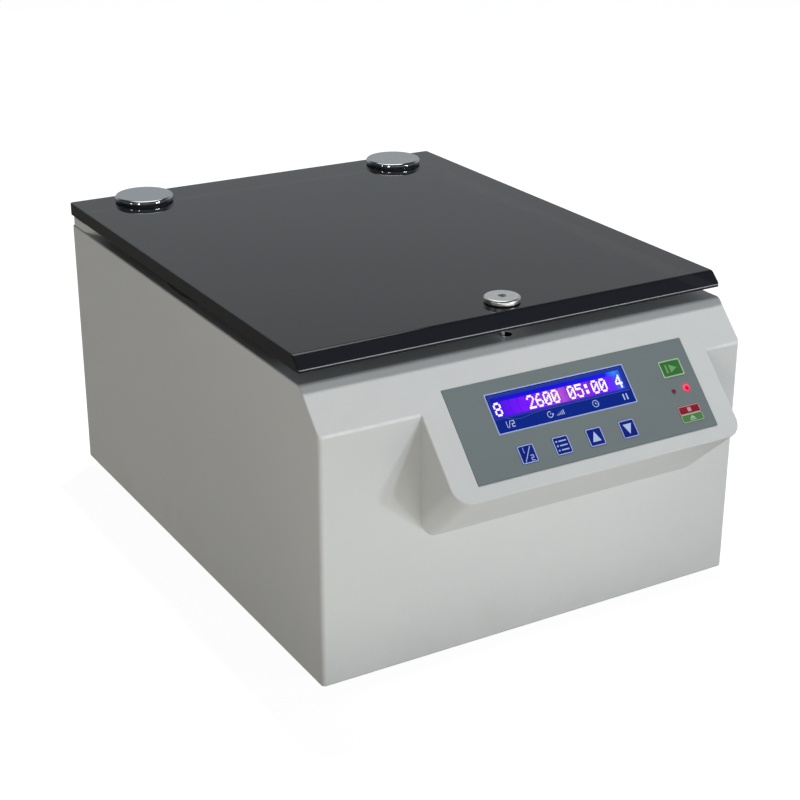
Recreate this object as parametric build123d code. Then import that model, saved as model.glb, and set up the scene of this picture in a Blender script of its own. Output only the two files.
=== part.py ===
from build123d import *
import os
from math import sin, cos, tan, radians, degrees, atan2, pi, sqrt

# Bench cytocentrifuge with a hinged tinted-glass lid and a sloping control console.
# Millimetres. +X right as seen from the front, +Y to the back, +Z up.
# Everything is drawn in the housing frame: x = 0 on the centre line, y = 0 on the front
# wall, z = 0 on the lower edge of the housing. At export it is shifted so that the origin
# lies on the surface the feet stand on, under the centre of the whole part.

os.makedirs("parts", exist_ok=True)

# ---------------------------------------------------------------- driving dimensions
W = 303.0            # housing width
D = 383.0            # housing depth
Z_FRONT = 160.6      # top of the upright front wall
Y_DECK = 22.9        # where the slope meets the deck
Z_DECK = 184.5       # deck
Z_REAR = 190.85      # top of the raised rear block
BLOCK_Y, BLOCK_R = 338.0, 24.0      # its front, and its rounded front corners
R_CORNER = 3.0       # upright corners of the housing
WALL = 4.0

FOOT_H = 8.0
FOOT_R = 11.0
FOOT_X, FOOT_Y0, FOOT_Y1 = 116.0, 34.0, 349.0

CON_X0, CON_X1 = -85.0, 124.0      # control console
CON_TIP = (-40.1, 118.7)           # its lower front edge (y, z)
CON_FOOT_Z = 81.4                  # where its underside meets the front wall
CON_R = 11.0

LID_W = 302.4
LID_Y0, LID_Y1 = 23.1, 385.4
LID_Z0, LID_Z1 = 191.2, 200.2
LID_R = 2.0
BEVEL_IN, BEVEL_LAND = 7.7, 1.75

CAP_XS, CAP_Y = (-102.2, 107.0), 363.3   # round caps over the hinges
CAP_R, CAP_H = 21.1, 4.8
DISC_Y, DISC_R, DISC_H = 47.0, 11.4, 4.0

HINGE_Y, HINGE_Z = 384.0, 186.5    # lid axis
KNUCKLE_R, HPIN_R = 4.2, 2.0

BOWL_Y = 203.0
BOWL_R, BOWL_Z0 = 129.0, 84.0
SEAL_R = 146.0

PIV_R, PIV_Z = 103.0, 116.0        # trunnions of the slide holders
LEAN = 18.0                        # holders lean inwards by this much at rest
ROTOR_R = 116.0

SLOPE_A = degrees(atan2(Z_DECK - Z_FRONT, Y_DECK))
US = (cos(radians(SLOPE_A)), sin(radians(SLOPE_A)))   # up the slope, in (y, z)
NS = (-US[1], US[0])                                  # outwards from the slope, in (y, z)

CON_NOSE = -39.51                  # the rounded lower front edge of the console
YC = (CON_NOSE + HINGE_Y + KNUCKLE_R) / 2


# ---------------------------------------------------------------- helpers
def bx(x0, x1, y0, y1, z0, z1):
    return Pos((x0 + x1) / 2, (y0 + y1) / 2, (z0 + z1) / 2) * Box(x1 - x0, y1 - y0, z1 - z0)


def cyl(x, y, z0, z1, r):
    return Pos(x, y, (z0 + z1) / 2) * Cylinder(r, z1 - z0)


def ring(x, y, z0, z1, r0, r1):
    return cyl(x, y, z0, z1, r1) - cyl(x, y, z0 - 1, z1 + 1, r0)


def cyl_x(x0, x1, y, z, r):
    return Pos((x0 + x1) / 2, y, z) * Rot(0, 90, 0) * Cylinder(r, x1 - x0)


def cyl_y(x, y0, y1, z, r):
    return Pos(x, (y0 + y1) / 2, z) * Rot(90, 0, 0) * Cylinder(r, y1 - y0)


def prism_x(pts, x0, x1):
    """A polygon given as (y, z) points, extruded from x0 to x1."""
    face = Plane.YZ * make_face(Polyline(*pts, close=True))
    return Pos((x0 + x1) / 2, 0, 0) * extrude(face, amount=(x1 - x0) / 2, both=True)


def plan_block(x0, x1, y0, y1, z0, z1, r):
    """A block whose upright edges are rounded."""
    s = Pos((x0 + x1) / 2, (y0 + y1) / 2) * RectangleRounded(x1 - x0, y1 - y0, r)
    return Pos(0, 0, z0) * extrude(s, amount=z1 - z0)


def revolve_z(pts, x, y):
    """A closed (r, z) outline turned about an upright axis at (x, y)."""
    face = Plane.XZ * make_face(Polyline(*pts, close=True))
    return Pos(x, y, 0) * revolve(face, Axis.Z, 360)


def soft_fillet(shape, edges, radius):
    """Rounds the edges, with a smaller radius if the full one has no room."""
    for r in (radius, radius * 0.7, radius * 0.4):
        try:
            out = fillet(edges, r)
            if out.is_valid and out.volume > 0:
                return out
        except Exception:
            continue
    print("edge left sharp, radius", radius)
    return shape


# the slope's own frame: local x = x, local y = up the slope, local z = outwards
SLOPE = Plane(origin=(0, Y_DECK, Z_DECK), x_dir=(1, 0, 0), z_dir=(0, NS[0], NS[1]))


def on_slope(x0, x1, s0, s1, n0, n1):
    """A block on the slope: s runs down the slope from the deck edge, n outwards."""
    return SLOPE * (Pos((x0 + x1) / 2, -(s0 + s1) / 2, (n0 + n1) / 2) * Box(x1 - x0, s1 - s0, n1 - n0))


def on_slope_round(x0, x1, s0, s1, n0, n1, r):
    sk = Pos((x0 + x1) / 2, -(s0 + s1) / 2, n0) * RectangleRounded(x1 - x0, s1 - s0, r)
    return SLOPE * extrude(sk, amount=n1 - n0)


def slope_cyl(x, s, n0, n1, r):
    return SLOPE * (Pos(x, -s, (n0 + n1) / 2) * Cylinder(r, n1 - n0))


NODES = {}


def add(name, *solids):
    flat = []
    for s in solids:
        flat += list(s.solids()) if hasattr(s, "solids") else [s]
    moved = [s.moved(Location((0, -YC, FOOT_H))) for s in flat]
    NODES[name] = moved
    shape = moved[0] if len(moved) == 1 else Compound(children=moved)
    shape.label = name
    export_step(shape, f"parts/{name}.step")


def turned_z(pts, radii, x, y):
    """A closed (r, z) outline with rounded corners, turned about an upright axis at (x, y)."""
    return Pos(x, y, 0) * revolve(Plane.XZ * side_profile(pts, radii), Axis.Z, 360)


# ---------------------------------------------------------------- housing
def side_profile(points, radii):
    face = make_face(Polyline(*points, close=True))
    for (py, pz), r in radii:
        v = [p for p in face.vertices() if abs(p.X - py) < 0.01 and abs(p.Y - pz) < 0.01]
        face = fillet(v, r)
    return face


outer_pts = [(0, 0), (0, Z_FRONT), (Y_DECK, Z_DECK), (D, Z_DECK), (D, 0)]
outer_face = side_profile(outer_pts, [((Y_DECK, Z_DECK), 4.0)])
outer = extrude(Plane.YZ * outer_face, amount=W / 2 + 5, both=True)
outer = outer & plan_block(-W / 2, W / 2, 0, D, -1, 220, R_CORNER)

# round the upper edges in one closed loop: front edge of the slope, its sides, the deck's
# sides and its rear edge, and round the corners between them
def is_rim(e):
    c = e.center()
    if c.Z < Z_FRONT - 0.01:
        return False
    outside = abs(abs(c.X) - W / 2) < 0.01 or c.Y < 0.01 or c.Y > D - 0.01
    corner = abs(c.X) > W / 2 - R_CORNER and (c.Y < R_CORNER or c.Y > D - R_CORNER)
    return outside or corner


outer = soft_fillet(outer, [e for e in outer.edges() if is_rim(e)], 1.1)
outer = soft_fillet(outer, [e for e in outer.edges() if e.center().Z < 0.01], 1.6)
# the raised block under the lid's hinges
INSET = 0.9
block = plan_block(-W / 2 + INSET, W / 2 - INSET, BLOCK_Y, D + 60, Z_DECK - 3.5, Z_REAR, BLOCK_R)
block = block & plan_block(-W / 2 + INSET, W / 2 - INSET, 0, D - INSET, 100, 260, R_CORNER - 0.5)
block = soft_fillet(block, [e for e in block.edges() if e.center().Z > Z_REAR - 0.01], 0.9)
outer = outer + block

wedge_face = side_profile([(2.0, CON_FOOT_Z - 1.86), CON_TIP, (0, Z_FRONT), (8, Z_FRONT + 8 * US[1] / US[0]), (8, CON_FOOT_Z - 1.86)], [])
console = Pos((CON_X0 + CON_X1) / 2, 0, 0) * extrude(Plane.YZ * wedge_face, amount=(CON_X1 - CON_X0) / 2, both=True)
ce = []
for e in console.edges():
    c = e.center()
    my, mz = (CON_TIP[0] + 2.0) / 2, (CON_TIP[1] + CON_FOOT_Z - 1.86) / 2
    if abs(c.Y - my) < 0.5 and abs(c.Z - mz) < 0.5 and (abs(c.X - CON_X0) < 0.01 or abs(c.X - CON_X1) < 0.01):
        ce.append(e)
console = fillet(ce, CON_R)
# the slope's edge of the console is only just broken
ce = []
for e in console.edges():
    c = e.center()
    if c.Y < -1 and abs((c.Y - CON_TIP[0]) * NS[0] + (c.Z - CON_TIP[1]) * NS[1]) < 0.05 and (c.Y < CON_TIP[0] + 12 or abs(c.X - CON_X0) < 0.1 or abs(c.X - CON_X1) < 0.1):
        ce.append(e)
console = soft_fillet(console, ce, 1.0)
outer = outer + console

# hollow inside
a = radians(SLOPE_A)
by, bz = 0 + WALL * sin(a), Z_FRONT - WALL * cos(a)
z_at_wall = bz + (WALL - by) * tan(a)
y_at_deck = by + (Z_DECK - WALL - bz) / tan(a)
inner_pts = [(WALL, -5), (WALL, z_at_wall), (y_at_deck, Z_DECK - WALL), (D - WALL, Z_DECK - WALL), (D - WALL, -5)]
inner = extrude(Plane.YZ * make_face(Polyline(*inner_pts, close=True)), amount=W / 2, both=True)
inner = inner & plan_block(-W / 2 + WALL, W / 2 - WALL, WALL, D - WALL, -6, 220, 1.5)
inner = inner + plan_block(-W / 2 + WALL + 2, W / 2 - WALL - 2, 353.0, D - WALL - 1, 170, Z_REAR - WALL, 8.0)
ud = sqrt(CON_TIP[0] ** 2 + (CON_TIP[1] - CON_FOOT_Z) ** 2)
uy, uz = -CON_TIP[0] / ud, (CON_FOOT_Z - CON_TIP[1]) / ud      # from the tip back to the foot
iy, iz = -uz, uy                                               # inwards from the underside
tip_in = (CON_TIP[0] - WALL * NS[0] + WALL * iy, CON_TIP[1] - WALL * NS[1] + WALL * iz)
p3z = tip_in[1] + uz / uy * (6 - tip_in[0])
p1z = z_at_wall + (6 - WALL) * tan(a)
con_in = prism_x([(6, p1z), tip_in, (6, p3z)], CON_X0 + WALL, CON_X1 - WALL)
ce = [e for e in con_in.edges() if abs(e.center().Y - (tip_in[0] + 6) / 2) < 0.5 and abs(e.center().Z - (tip_in[1] + p3z) / 2) < 0.5]
con_in = fillet(ce, CON_R - WALL)
inner = inner + con_in
housing = outer - inner

# pads inside the rear block under the hinges
pads = []
for cx in CAP_XS:
    pads.append(bx(cx - 24.5, cx + 24.5, 345, D - 1, 172, Z_REAR - 2.0))
housing = housing + (pads[0] & outer) + (pads[1] & outer)
for cx in CAP_XS:
    housing -= bx(cx - 19.6, cx + 19.6, 343.5, D + 5, 188.2, 200)              # for the leaf
    housing -= bx(cx - 19.6, cx + 19.6, HINGE_Y - 5.6, D + 5, 181.9, 200)      # for the knuckles
    housing -= bx(cx - 8.4, cx + 8.4, HINGE_Y - 5.6, D + 5, 181.0, 200)

# deck openings: bowl, striker hole, crescent for the seal in the ramp
housing -= cyl(0, BOWL_Y, Z_DECK - WALL - 5, Z_DECK + 20, BOWL_R + 0.6)
housing -= cyl(0, BOWL_Y, Z_DECK, Z_DECK + 20, SEAL_R + 0.4)
housing -= cyl(0, DISC_Y - 0.5, 170, 200, 6.3)
SENSE_X, SENSE_Y = -7.4, 34.6      # the thin pin that works the lid switch
housing -= cyl(-5.6, 33.8, 170, 200, 4.0)

# recess for the overlay and windows behind it
OV_X0, OV_X1, OV_S0, OV_S1 = -67.1, 107.9, 21.3, 81.7
OV_REC = 0.6
housing -= on_slope(OV_X0 - 0.15, OV_X1 + 0.15, OV_S0 - 0.15, OV_S1 + 0.15, -OV_REC, 5)
LCD_X0, LCD_X1, LCD_S0, LCD_S1 = -41.4, 58.5, 29.9, 55.2
housing -= on_slope(LCD_X0 - 1.5, LCD_X1 + 1.5, LCD_S0 - 1.5, LCD_S1 + 1.0, -12, 5)
housing -= on_slope(-38.0, 54.0, 61.0, 79.2, -12, 5)
housing -= on_slope(80.5, 104.2, 30.0, 79.0, -12, 5)

# bosses for the base plate screws
BOSS = [(sx * 134.0, y) for sx in (-1, 1) for y in (16.0, 190.0, 364.0)]
for (x, y) in BOSS:
    lug = bx(min(x, x * 1.12), max(x, x * 1.12), y - 7, y + 7, 3.0, 15.0) + cyl(x, y, 3.0, 15.0, 7.0)
    housing = housing + (lug & bx(-W / 2 + 2, W / 2 - 2, 2, D - 2, 0, 20))
for (x, y) in BOSS:
    housing -= cyl(x, y, 2.0, 13.0, 1.72)

# rear wall: inlet, rocker switch, vents
INLET_X, INLET_Z = -96.0, 46.0
SW_X, SW_Z = -40.0, 46.0
housing -= bx(INLET_X - 14.0, INLET_X + 14.0, D - 10, D + 5, INLET_Z - 19.0, INLET_Z + 19.0)
housing -= bx(SW_X - 6.6, SW_X + 6.6, D - 10, D + 5, SW_Z - 9.6, SW_Z + 9.6)
VENT_X = [20.0 + 11.0 * i for i in range(9)]
for vx in VENT_X:
    housing -= bx(vx - 2.2, vx + 2.2, D - 10, D + 5, 40, 96) + cyl_y(vx, D - 10, D + 5, 40, 2.2) + cyl_y(vx, D - 10, D + 5, 96, 2.2)
# latch frame screw holes in the deck stay blind, from below
housing -= bx(-300, 300, -60, 420, -20, 0)
add("housing", housing)

# ---------------------------------------------------------------- base plate, feet, screws
base = plan_block(-W / 2 + WALL + 0.1, W / 2 - WALL - 0.1, WALL + 0.1, D - WALL - 0.1, 0, 3.0, 2.0)
for (x, y) in BOSS:
    base -= cyl(x, y, -1, 4, 2.2)
FEET = [(sx * FOOT_X, y) for sx in (-1, 1) for y in (FOOT_Y0, FOOT_Y1)]
for (x, y) in FEET:
    base -= cyl(x, y, -1, 4, 2.55)
for i in range(7):
    base -= bx(-45, 45, 262 + 8 * i, 265 + 8 * i, -1, 4)
add("base_plate", base)

feet, foot_screws = [], []
for (x, y) in FEET:
    f = revolve_z([(2.6, 0), (FOOT_R, 0), (FOOT_R - 0.4, -FOOT_H + 1.0), (FOOT_R - 1.4, -FOOT_H), (5.4, -FOOT_H), (5.4, -4.0), (2.6, -4.0)], x, y)
    feet.append(f)
    s = cyl(x, y, -6.6, -4.0, 4.2) + cyl(x, y, -4.0, 6.0, 2.5)
    s -= cyl(x, y, -7.0, -5.2, 1.6)
    nut = extrude(Pos(x, y, 3.0) * RegularPolygon(4.6, 6), amount=3.2) - cyl(x, y, 2, 7, 2.5)
    foot_screws += [s, nut]
add("rubber_feet", *feet)

screws = list(foot_screws)
for (x, y) in BOSS:
    s = cyl(x, y, -2.0, 0, 3.6) + cyl(x, y, -0.01, 11.0, 1.7)
    s -= bx(x - 2.2, x + 2.2, y - 0.4, y + 0.4, -2.5, -1.1)
    s -= bx(x - 0.4, x + 0.4, y - 2.2, y + 2.2, -2.5, -1.1)
    screws.append(s)
add("chassis_screws", *screws)

# ---------------------------------------------------------------- bowl and seal
bowl_pts = [
    (16.0, BOWL_Z0), (118.0, BOWL_Z0), (125.0, BOWL_Z0 + 2.0), (129.0, BOWL_Z0 + 9.0), (129.0, Z_DECK), (136.0, Z_DECK),
    (136.0, Z_DECK + 1.2), (127.5, Z_DECK + 1.2), (127.5, BOWL_Z0 + 9.5), (124.0, BOWL_Z0 + 3.4), (117.5, BOWL_Z0 + 1.5), (16.0, BOWL_Z0 + 1.5),
]
add("chamber_bowl", revolve_z(bowl_pts, 0, BOWL_Y))
seal_pts = [
    (136.3, Z_DECK), (SEAL_R, Z_DECK), (SEAL_R, 188.4), (SEAL_R - 0.9, 190.0), (SEAL_R - 2.6, 190.8), (SEAL_R - 5.0, 190.8), (SEAL_R - 6.4, 189.8),
    (SEAL_R - 6.9, 188.2), (136.3, 187.1),
]
add("lid_seal", revolve_z(seal_pts, 0, BOWL_Y))

# ---------------------------------------------------------------- hinge: fixed side
brackets, pins = [], []
for cx in CAP_XS:
    b = bx(cx - 18.2, cx + 18.2, D, D + 2.4, 158.0, 181.0)
    b = b + bx(cx - 18.2, cx - 8.9, D, D + 2.4, 180, HINGE_Z) + bx(cx + 8.9, cx + 18.2, D, D + 2.4, 180, HINGE_Z)
    b = b + cyl_x(cx - 18.2, cx - 8.9, HINGE_Y, HINGE_Z, KNUCKLE_R) + cyl_x(cx + 8.9, cx + 18.2, HINGE_Y, HINGE_Z, KNUCKLE_R)
    b -= cyl_x(cx - 20, cx + 20, HINGE_Y, HINGE_Z, HPIN_R)
    for dx in (-11.5, 11.5):
        b -= cyl_y(cx + dx, D - 1, D + 4, 167.0, 2.1)
    brackets.append(b)
    pins.append(cyl_x(cx - 18.6, cx + 18.6, HINGE_Y, HINGE_Z, HPIN_R))
add("hinge_brackets", *brackets)
add("hinge_pins", *pins)
hs = []
for cx in CAP_XS:
    for dx in (-11.5, 11.5):
        x = cx + dx
        h = cyl_y(x, D + 2.4, D + 4.0, 167.0, 3.6)
        h -= cyl_y(x, D + 3.0, D + 5.0, 167.0, 1.3)
        hs.append(h)

# ---------------------------------------------------------------- lid
lid_prof = make_face(Polyline(
    (LID_Y0, LID_Z0), (LID_Y0, LID_Z0 + BEVEL_LAND), (LID_Y0 + BEVEL_IN, LID_Z1), (LID_Y1, LID_Z1), (LID_Y1, LID_Z0), close=True))
v = [p for p in lid_prof.vertices() if abs(p.X - LID_Y0 - BEVEL_IN) < 0.01 and abs(p.Y - LID_Z1) < 0.01]
lid_prof = fillet(v, 4.0)
lid = extrude(Plane.YZ * lid_prof, amount=LID_W / 2 + 5, both=True)
lid = lid & plan_block(-LID_W / 2, LID_W / 2, LID_Y0, LID_Y1, 150, 230, LID_R)


def lid_rim(e):
    c = e.center()
    outside = abs(abs(c.X) - LID_W / 2) < 0.01 or abs(c.Y - LID_Y0) < 0.01 or abs(c.Y - LID_Y1) < 0.01
    corner = abs(c.X) > LID_W / 2 - LID_R and (c.Y < LID_Y0 + LID_R or c.Y > LID_Y1 - LID_R)
    return outside or corner


lid = soft_fillet(lid, [e for e in lid.edges() if lid_rim(e) and e.center().Z > LID_Z0 + BEVEL_LAND - 0.01 and abs((e % 0.5).Z) < 0.95], 0.8)
lid = soft_fillet(lid, [e for e in lid.edges() if lid_rim(e) and e.center().Z < LID_Z0 + 0.01], 0.35)
for cx in CAP_XS:
    lid -= cyl(cx, CAP_Y, 180, 210, 5.0)
lid -= cyl(0, DISC_Y, 180, 210, 4.0)
add("lid_glass", lid)

caps, gaskets, leaves, nuts = [], [], [], []
for cx in CAP_XS:
    c = turned_z([(0, LID_Z1 + 0.7), (CAP_R, LID_Z1 + 0.7), (CAP_R, LID_Z1 + CAP_H), (0, LID_Z1 + CAP_H)],
                 [((CAP_R, LID_Z1 + 0.7), 1.1), ((CAP_R, LID_Z1 + CAP_H), 1.9)], cx, CAP_Y)
    c = c + cyl(cx, CAP_Y, 189.2, LID_Z1 + 0.8, 4.0)
    caps.append(c)
    gaskets.append(ring(cx, CAP_Y, LID_Z1, LID_Z1 + 0.7, 5.2, CAP_R - 0.5))
    lf = plan_block(cx - 17.8, cx + 17.8, 344.8, 377.4, 188.9, LID_Z0, 3.0)
    lf = lf + bx(cx - 8.0, cx + 8.0, 372, HINGE_Y, 188.7, 190.6)
    lf = lf + cyl_x(cx - 8.0, cx + 8.0, HINGE_Y, HINGE_Z, KNUCKLE_R)
    lf -= cyl_x(cx - 12, cx + 12, HINGE_Y, HINGE_Z, HPIN_R + 0.05)
    lf -= cyl(cx, CAP_Y, 180, 200, 4.0)
    leaves.append(lf)
add("hinge_caps", *caps)
add("hinge_leaves", *leaves)

disc = turned_z([(0, LID_Z1 + 0.5), (DISC_R, LID_Z1 + 0.5), (DISC_R, LID_Z1 + DISC_H), (0, LID_Z1 + DISC_H)],
                [((DISC_R, LID_Z1 + 0.5), 0.5), ((DISC_R, LID_Z1 + DISC_H), 1.4)], 0, DISC_Y)
disc = disc + cyl(0, DISC_Y, LID_Z0 - 1.5, LID_Z1 + 0.5, 3.0)
disc -= extrude(Pos(0, DISC_Y, LID_Z1 + 1.6) * RegularPolygon(3.1, 6), amount=5)
add("striker_disc", disc)
add("lid_gaskets", *gaskets, ring(0, DISC_Y, LID_Z1, LID_Z1 + 0.5, 4.2, DISC_R - 0.9))
NECK_Z0, NECK_Z1 = 166.0, 171.0
pin = revolve_z([
    (0, LID_Z0 - 1.5), (4.5, LID_Z0 - 1.5), (4.5, NECK_Z1 + 1.5), (2.5, NECK_Z1), (2.5, NECK_Z0), (4.5, NECK_Z0 - 0.6),
    (4.5, NECK_Z0 - 2.6), (2.0, NECK_Z0 - 5.6), (0, NECK_Z0 - 5.6)], 0, DISC_Y)
# a small plate under the glass carries the latch pin and the switch's thin pin
splate = plan_block(-12.0, 10.0, 29.5, 57.0, LID_Z0 - 1.5, LID_Z0, 3.0) - cyl(0, DISC_Y, 180, 200, 3.0)
thin = revolve_z([(0, LID_Z0 - 1.5), (1.4, LID_Z0 - 1.5), (1.4, 172.4), (0.8, 171.8), (0, 171.8)], SENSE_X, SENSE_Y)
add("striker_pin", splate, pin, thin)

# ---------------------------------------------------------------- latch under the deck
fr = bx(-26, 26, DISC_Y - 12, DISC_Y + 12, 160.4, 162.4) - cyl(0, DISC_Y, 150, 170, 8.0)
for sx in (-1, 1):
    x0, x1 = sorted((sx * 24.0, sx * 26.0))
    fr = fr + bx(x0, x1, DISC_Y - 12, DISC_Y + 12, 160.4, Z_DECK - WALL)
    x0, x1 = sorted((sx * 24.0, sx * 36.0))
    fr = fr + bx(x0, x1, DISC_Y - 12, DISC_Y + 12, Z_DECK - WALL - 2.0, Z_DECK - WALL)
BOLT_Z = 168.5
fr -= bx(-30, -20, DISC_Y - 6.4, DISC_Y + 6.4, BOLT_Z - 2.0, BOLT_Z + 2.0)
# a strap from the frame carries the solenoid's face plate
fr = fr + bx(-46.0, -35.0, DISC_Y - 12, DISC_Y + 12, Z_DECK - WALL - 2.0, Z_DECK - WALL)
fr = fr + bx(-46.0, -43.5, DISC_Y - 12, DISC_Y + 12, BOLT_Z - 12, Z_DECK - WALL) - cyl_x(-48, -40, DISC_Y, BOLT_Z, 5.0)
add("latch_frame", fr)
bolt = bx(-40.0, -6.2, DISC_Y - 6.0, DISC_Y + 6.0, BOLT_Z - 1.5, BOLT_Z + 1.5)
bolt -= bx(-11.4 + 2.9, 0, DISC_Y - 2.9, DISC_Y + 2.9, BOLT_Z - 4, BOLT_Z + 4)
bolt -= cyl(-11.4 + 2.9, DISC_Y, BOLT_Z - 4, BOLT_Z + 4, 2.9)
bolt = bolt + cyl_x(-70.0, -39.0, DISC_Y, BOLT_Z, 3.0)
add("latch_bolt", bolt)
sol = bx(-82.0, -50.0, DISC_Y - 11, DISC_Y + 11, BOLT_Z - 11, BOLT_Z + 11)
sol -= cyl_x(-78.0, -45.0, DISC_Y, BOLT_Z, 3.06)
sol = sol + (bx(-50.0, -46.0, DISC_Y - 12, DISC_Y + 12, BOLT_Z - 12, BOLT_Z + 12) - cyl_x(-55.0, -40.0, DISC_Y, BOLT_Z, 3.06))
add("latch_solenoid", sol)
sw = bx(SENSE_X - 4.0, SENSE_X + 12.0, SENSE_Y - 3, SENSE_Y + 3, 162.4, 169.4)
sw = sw + bx(SENSE_X - 1.7, SENSE_X + 1.7, SENSE_Y - 1.5, SENSE_Y + 1.5, 169.4, 171.4)
add("lid_switch", sw)

# ---------------------------------------------------------------- console: overlay, display, keys
OV_T = 0.9
overlay = on_slope_round(OV_X0, OV_X1, OV_S0, OV_S1, -OV_REC, -OV_REC + OV_T, 0.8)
overlay -= on_slope(LCD_X0 - 0.05, LCD_X1 + 0.05, LCD_S0 - 0.05, LCD_S1 + 0.05, -5, 5)
KEYS = {
    "key_program": (-28.5, 70.4, 11.6, 11.8),
    "key_select": (-3.9, 70.4, 11.6, 11.8),
    "key_up": (20.2, 70.4, 11.6, 11.8),
    "key_down": (44.6, 70.4, 11.6, 11.8),
    "key_start": (92.4, 39.6, 16.6, 11.6),
    "key_stop": (92.4, 70.6, 16.6, 11.2),
}
KGAP, KEY_R = 0.30, 1.2
for name, (kx, ks, kw, kh) in KEYS.items():
    overlay -= on_slope_round(kx - kw / 2 - KGAP, kx + kw / 2 + KGAP, ks - kh / 2 - KGAP, ks + kh / 2 + KGAP, -5, 5, KEY_R + KGAP)
LEDS = [(87.0, 54.5, 1.5), (97.1, 53.9, 2.3)]
for (lx, ls, lr) in LEDS:
    overlay -= slope_cyl(lx, ls, -5, 5, lr + 0.05)
add("control_overlay", overlay)
add("lcd_window", on_slope(LCD_X0, LCD_X1, LCD_S0, LCD_S1, -OV_REC, -OV_REC + OV_T))
add("status_leds", *[slope_cyl(lx, ls, -5.0, 0.55, lr) for (lx, ls, lr) in LEDS])

KEY_TOP = 0.45
KEY_TRAVEL = 0.5
for name, (kx, ks, kw, kh) in KEYS.items():
    k = on_slope_round(kx - kw / 2, kx + kw / 2, ks - kh / 2, ks + kh / 2, -2.2, KEY_TOP, KEY_R)
    top = [e for e in k.edges() if abs((e.center() - Vector(0, Y_DECK, Z_DECK)).dot(Vector(0, NS[0], NS[1])) - KEY_TOP) < 0.01]
    k = soft_fillet(k, top, 0.12)
    # a rim behind the overlay keeps the key in
    k = k + on_slope(kx - kw / 2 - 1.0, kx + kw / 2 + 1.0, ks - kh / 2 - 1.0, ks + kh / 2 + 1.0, -2.2, -1.2)
    add(name, k)
pcb = on_slope(-40.0, 104.0, 59.5, 80.8, -6.6, -5.0) + on_slope(78.0, 104.0, 26.0, 60.0, -6.6, -5.0)
domes = []
for name, (kx, ks, kw, kh) in KEYS.items():
    domes.append(on_slope(kx - 3.0, kx + 3.0, ks - 3.0, ks + 3.0, -5.0, -3.9) + slope_cyl(kx, ks, -4.0, -3.05, 1.7))
add("keypad_board", pcb, *domes)
add("lcd_module", on_slope(LCD_X0 - 1.2, LCD_X1 + 1.2, LCD_S0 - 1.2, LCD_S1 + 0.8, -9.0, -0.9), on_slope(LCD_X0 - 8, LCD_X1 + 8, LCD_S0 - 4, LCD_S1 + 3.0, -10.6, -9.0))
standoffs = []
for (x, s) in ((LCD_X0 - 5, 29.0), (LCD_X1 + 5, 29.0), (LCD_X0 - 5, 55.0), (LCD_X1 + 5, 55.0)):
    standoffs.append(slope_cyl(x, s, -9.0, -WALL, 2.4))
standoffs.append(slope_cyl(70.0, 66.0, -5.0, -WALL, 2.4))
standoffs.append(slope_cyl(62.0, 76.0, -5.0, -WALL, 2.4))


# ---------------------------------------------------------------- drive
MX, MY = 0.0, BOWL_Y
MR = 45.0
can = cyl(MX, MY, 12.0, 70.0, MR)
can -= cyl(MX, MY, 17.0, 66.0, MR - 3.0)
can -= cyl(MX, MY, 5.0, 80.0, 9.0)
can -= cyl(MX, MY, 66.0 - 1, 69.0 - 0.0, 14.0)
can -= cyl(MX, MY, 14.0, 18.0, 14.0)
can = can + (ring(MX, MY, 66.0, 70.0, 14.0, MR)) + ring(MX, MY, 69.0, 70.0, 9.0, 14.0)
add("motor_can", can)
add("motor_bearings", ring(MX, MY, 61.0, 69.0, 6.0, 14.0), ring(MX, MY, 14.0, 22.0, 6.0, 14.0))
add("motor_stator", ring(MX, MY, 26.0, 57.0, 24.0, MR - 3.0))
plate = bx(-74, 74, MY - 74, MY + 74, 70.0, 74.0) - cyl(MX, MY, 60, 80, 16.2)
plate -= cyl(-74, MY - 74, 60, 80, 18) + cyl(74, MY - 74, 60, 80, 18) + cyl(-74, MY + 74, 60, 80, 18) + cyl(74, MY + 74, 60, 80, 18)
POSTS = [(sx * 62.0, MY + sy * 40.0) for sx in (-1, 1) for sy in (-1, 1)]
add("motor_mount_plate", plate)
mount_posts = [cyl(x, y, 3.0, 52.0, 6.0) for (x, y) in POSTS]
add("mount_dampers", *[revolve_z([(0, 52.0), (11.0, 52.0), (11.0, 55.0), (8.5, 58.0), (8.5, 64.0), (11.0, 67.0), (11.0, 70.0), (0, 70.0)], x, y) for (x, y) in POSTS])
boot = revolve_z([(9.0, 74.0), (30.0, 74.0), (30.0, 76.0), (17.0, 77.5), (15.2, 80.0), (15.2, 83.0), (20.0, 83.0), (20.0, 84.0), (15.5, 84.0), (15.5, 88.0), (12.0, 88.0), (12.0, 78.0), (9.0, 76.0)], MX, MY)
add("shaft_boot", boot)
bp = []
for (x, y) in ((-90, 150), (90, 150), (-90, 256), (90, 256)):
    bp.append(cyl(x, y, 3.0, BOWL_Z0, 5.0))


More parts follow.
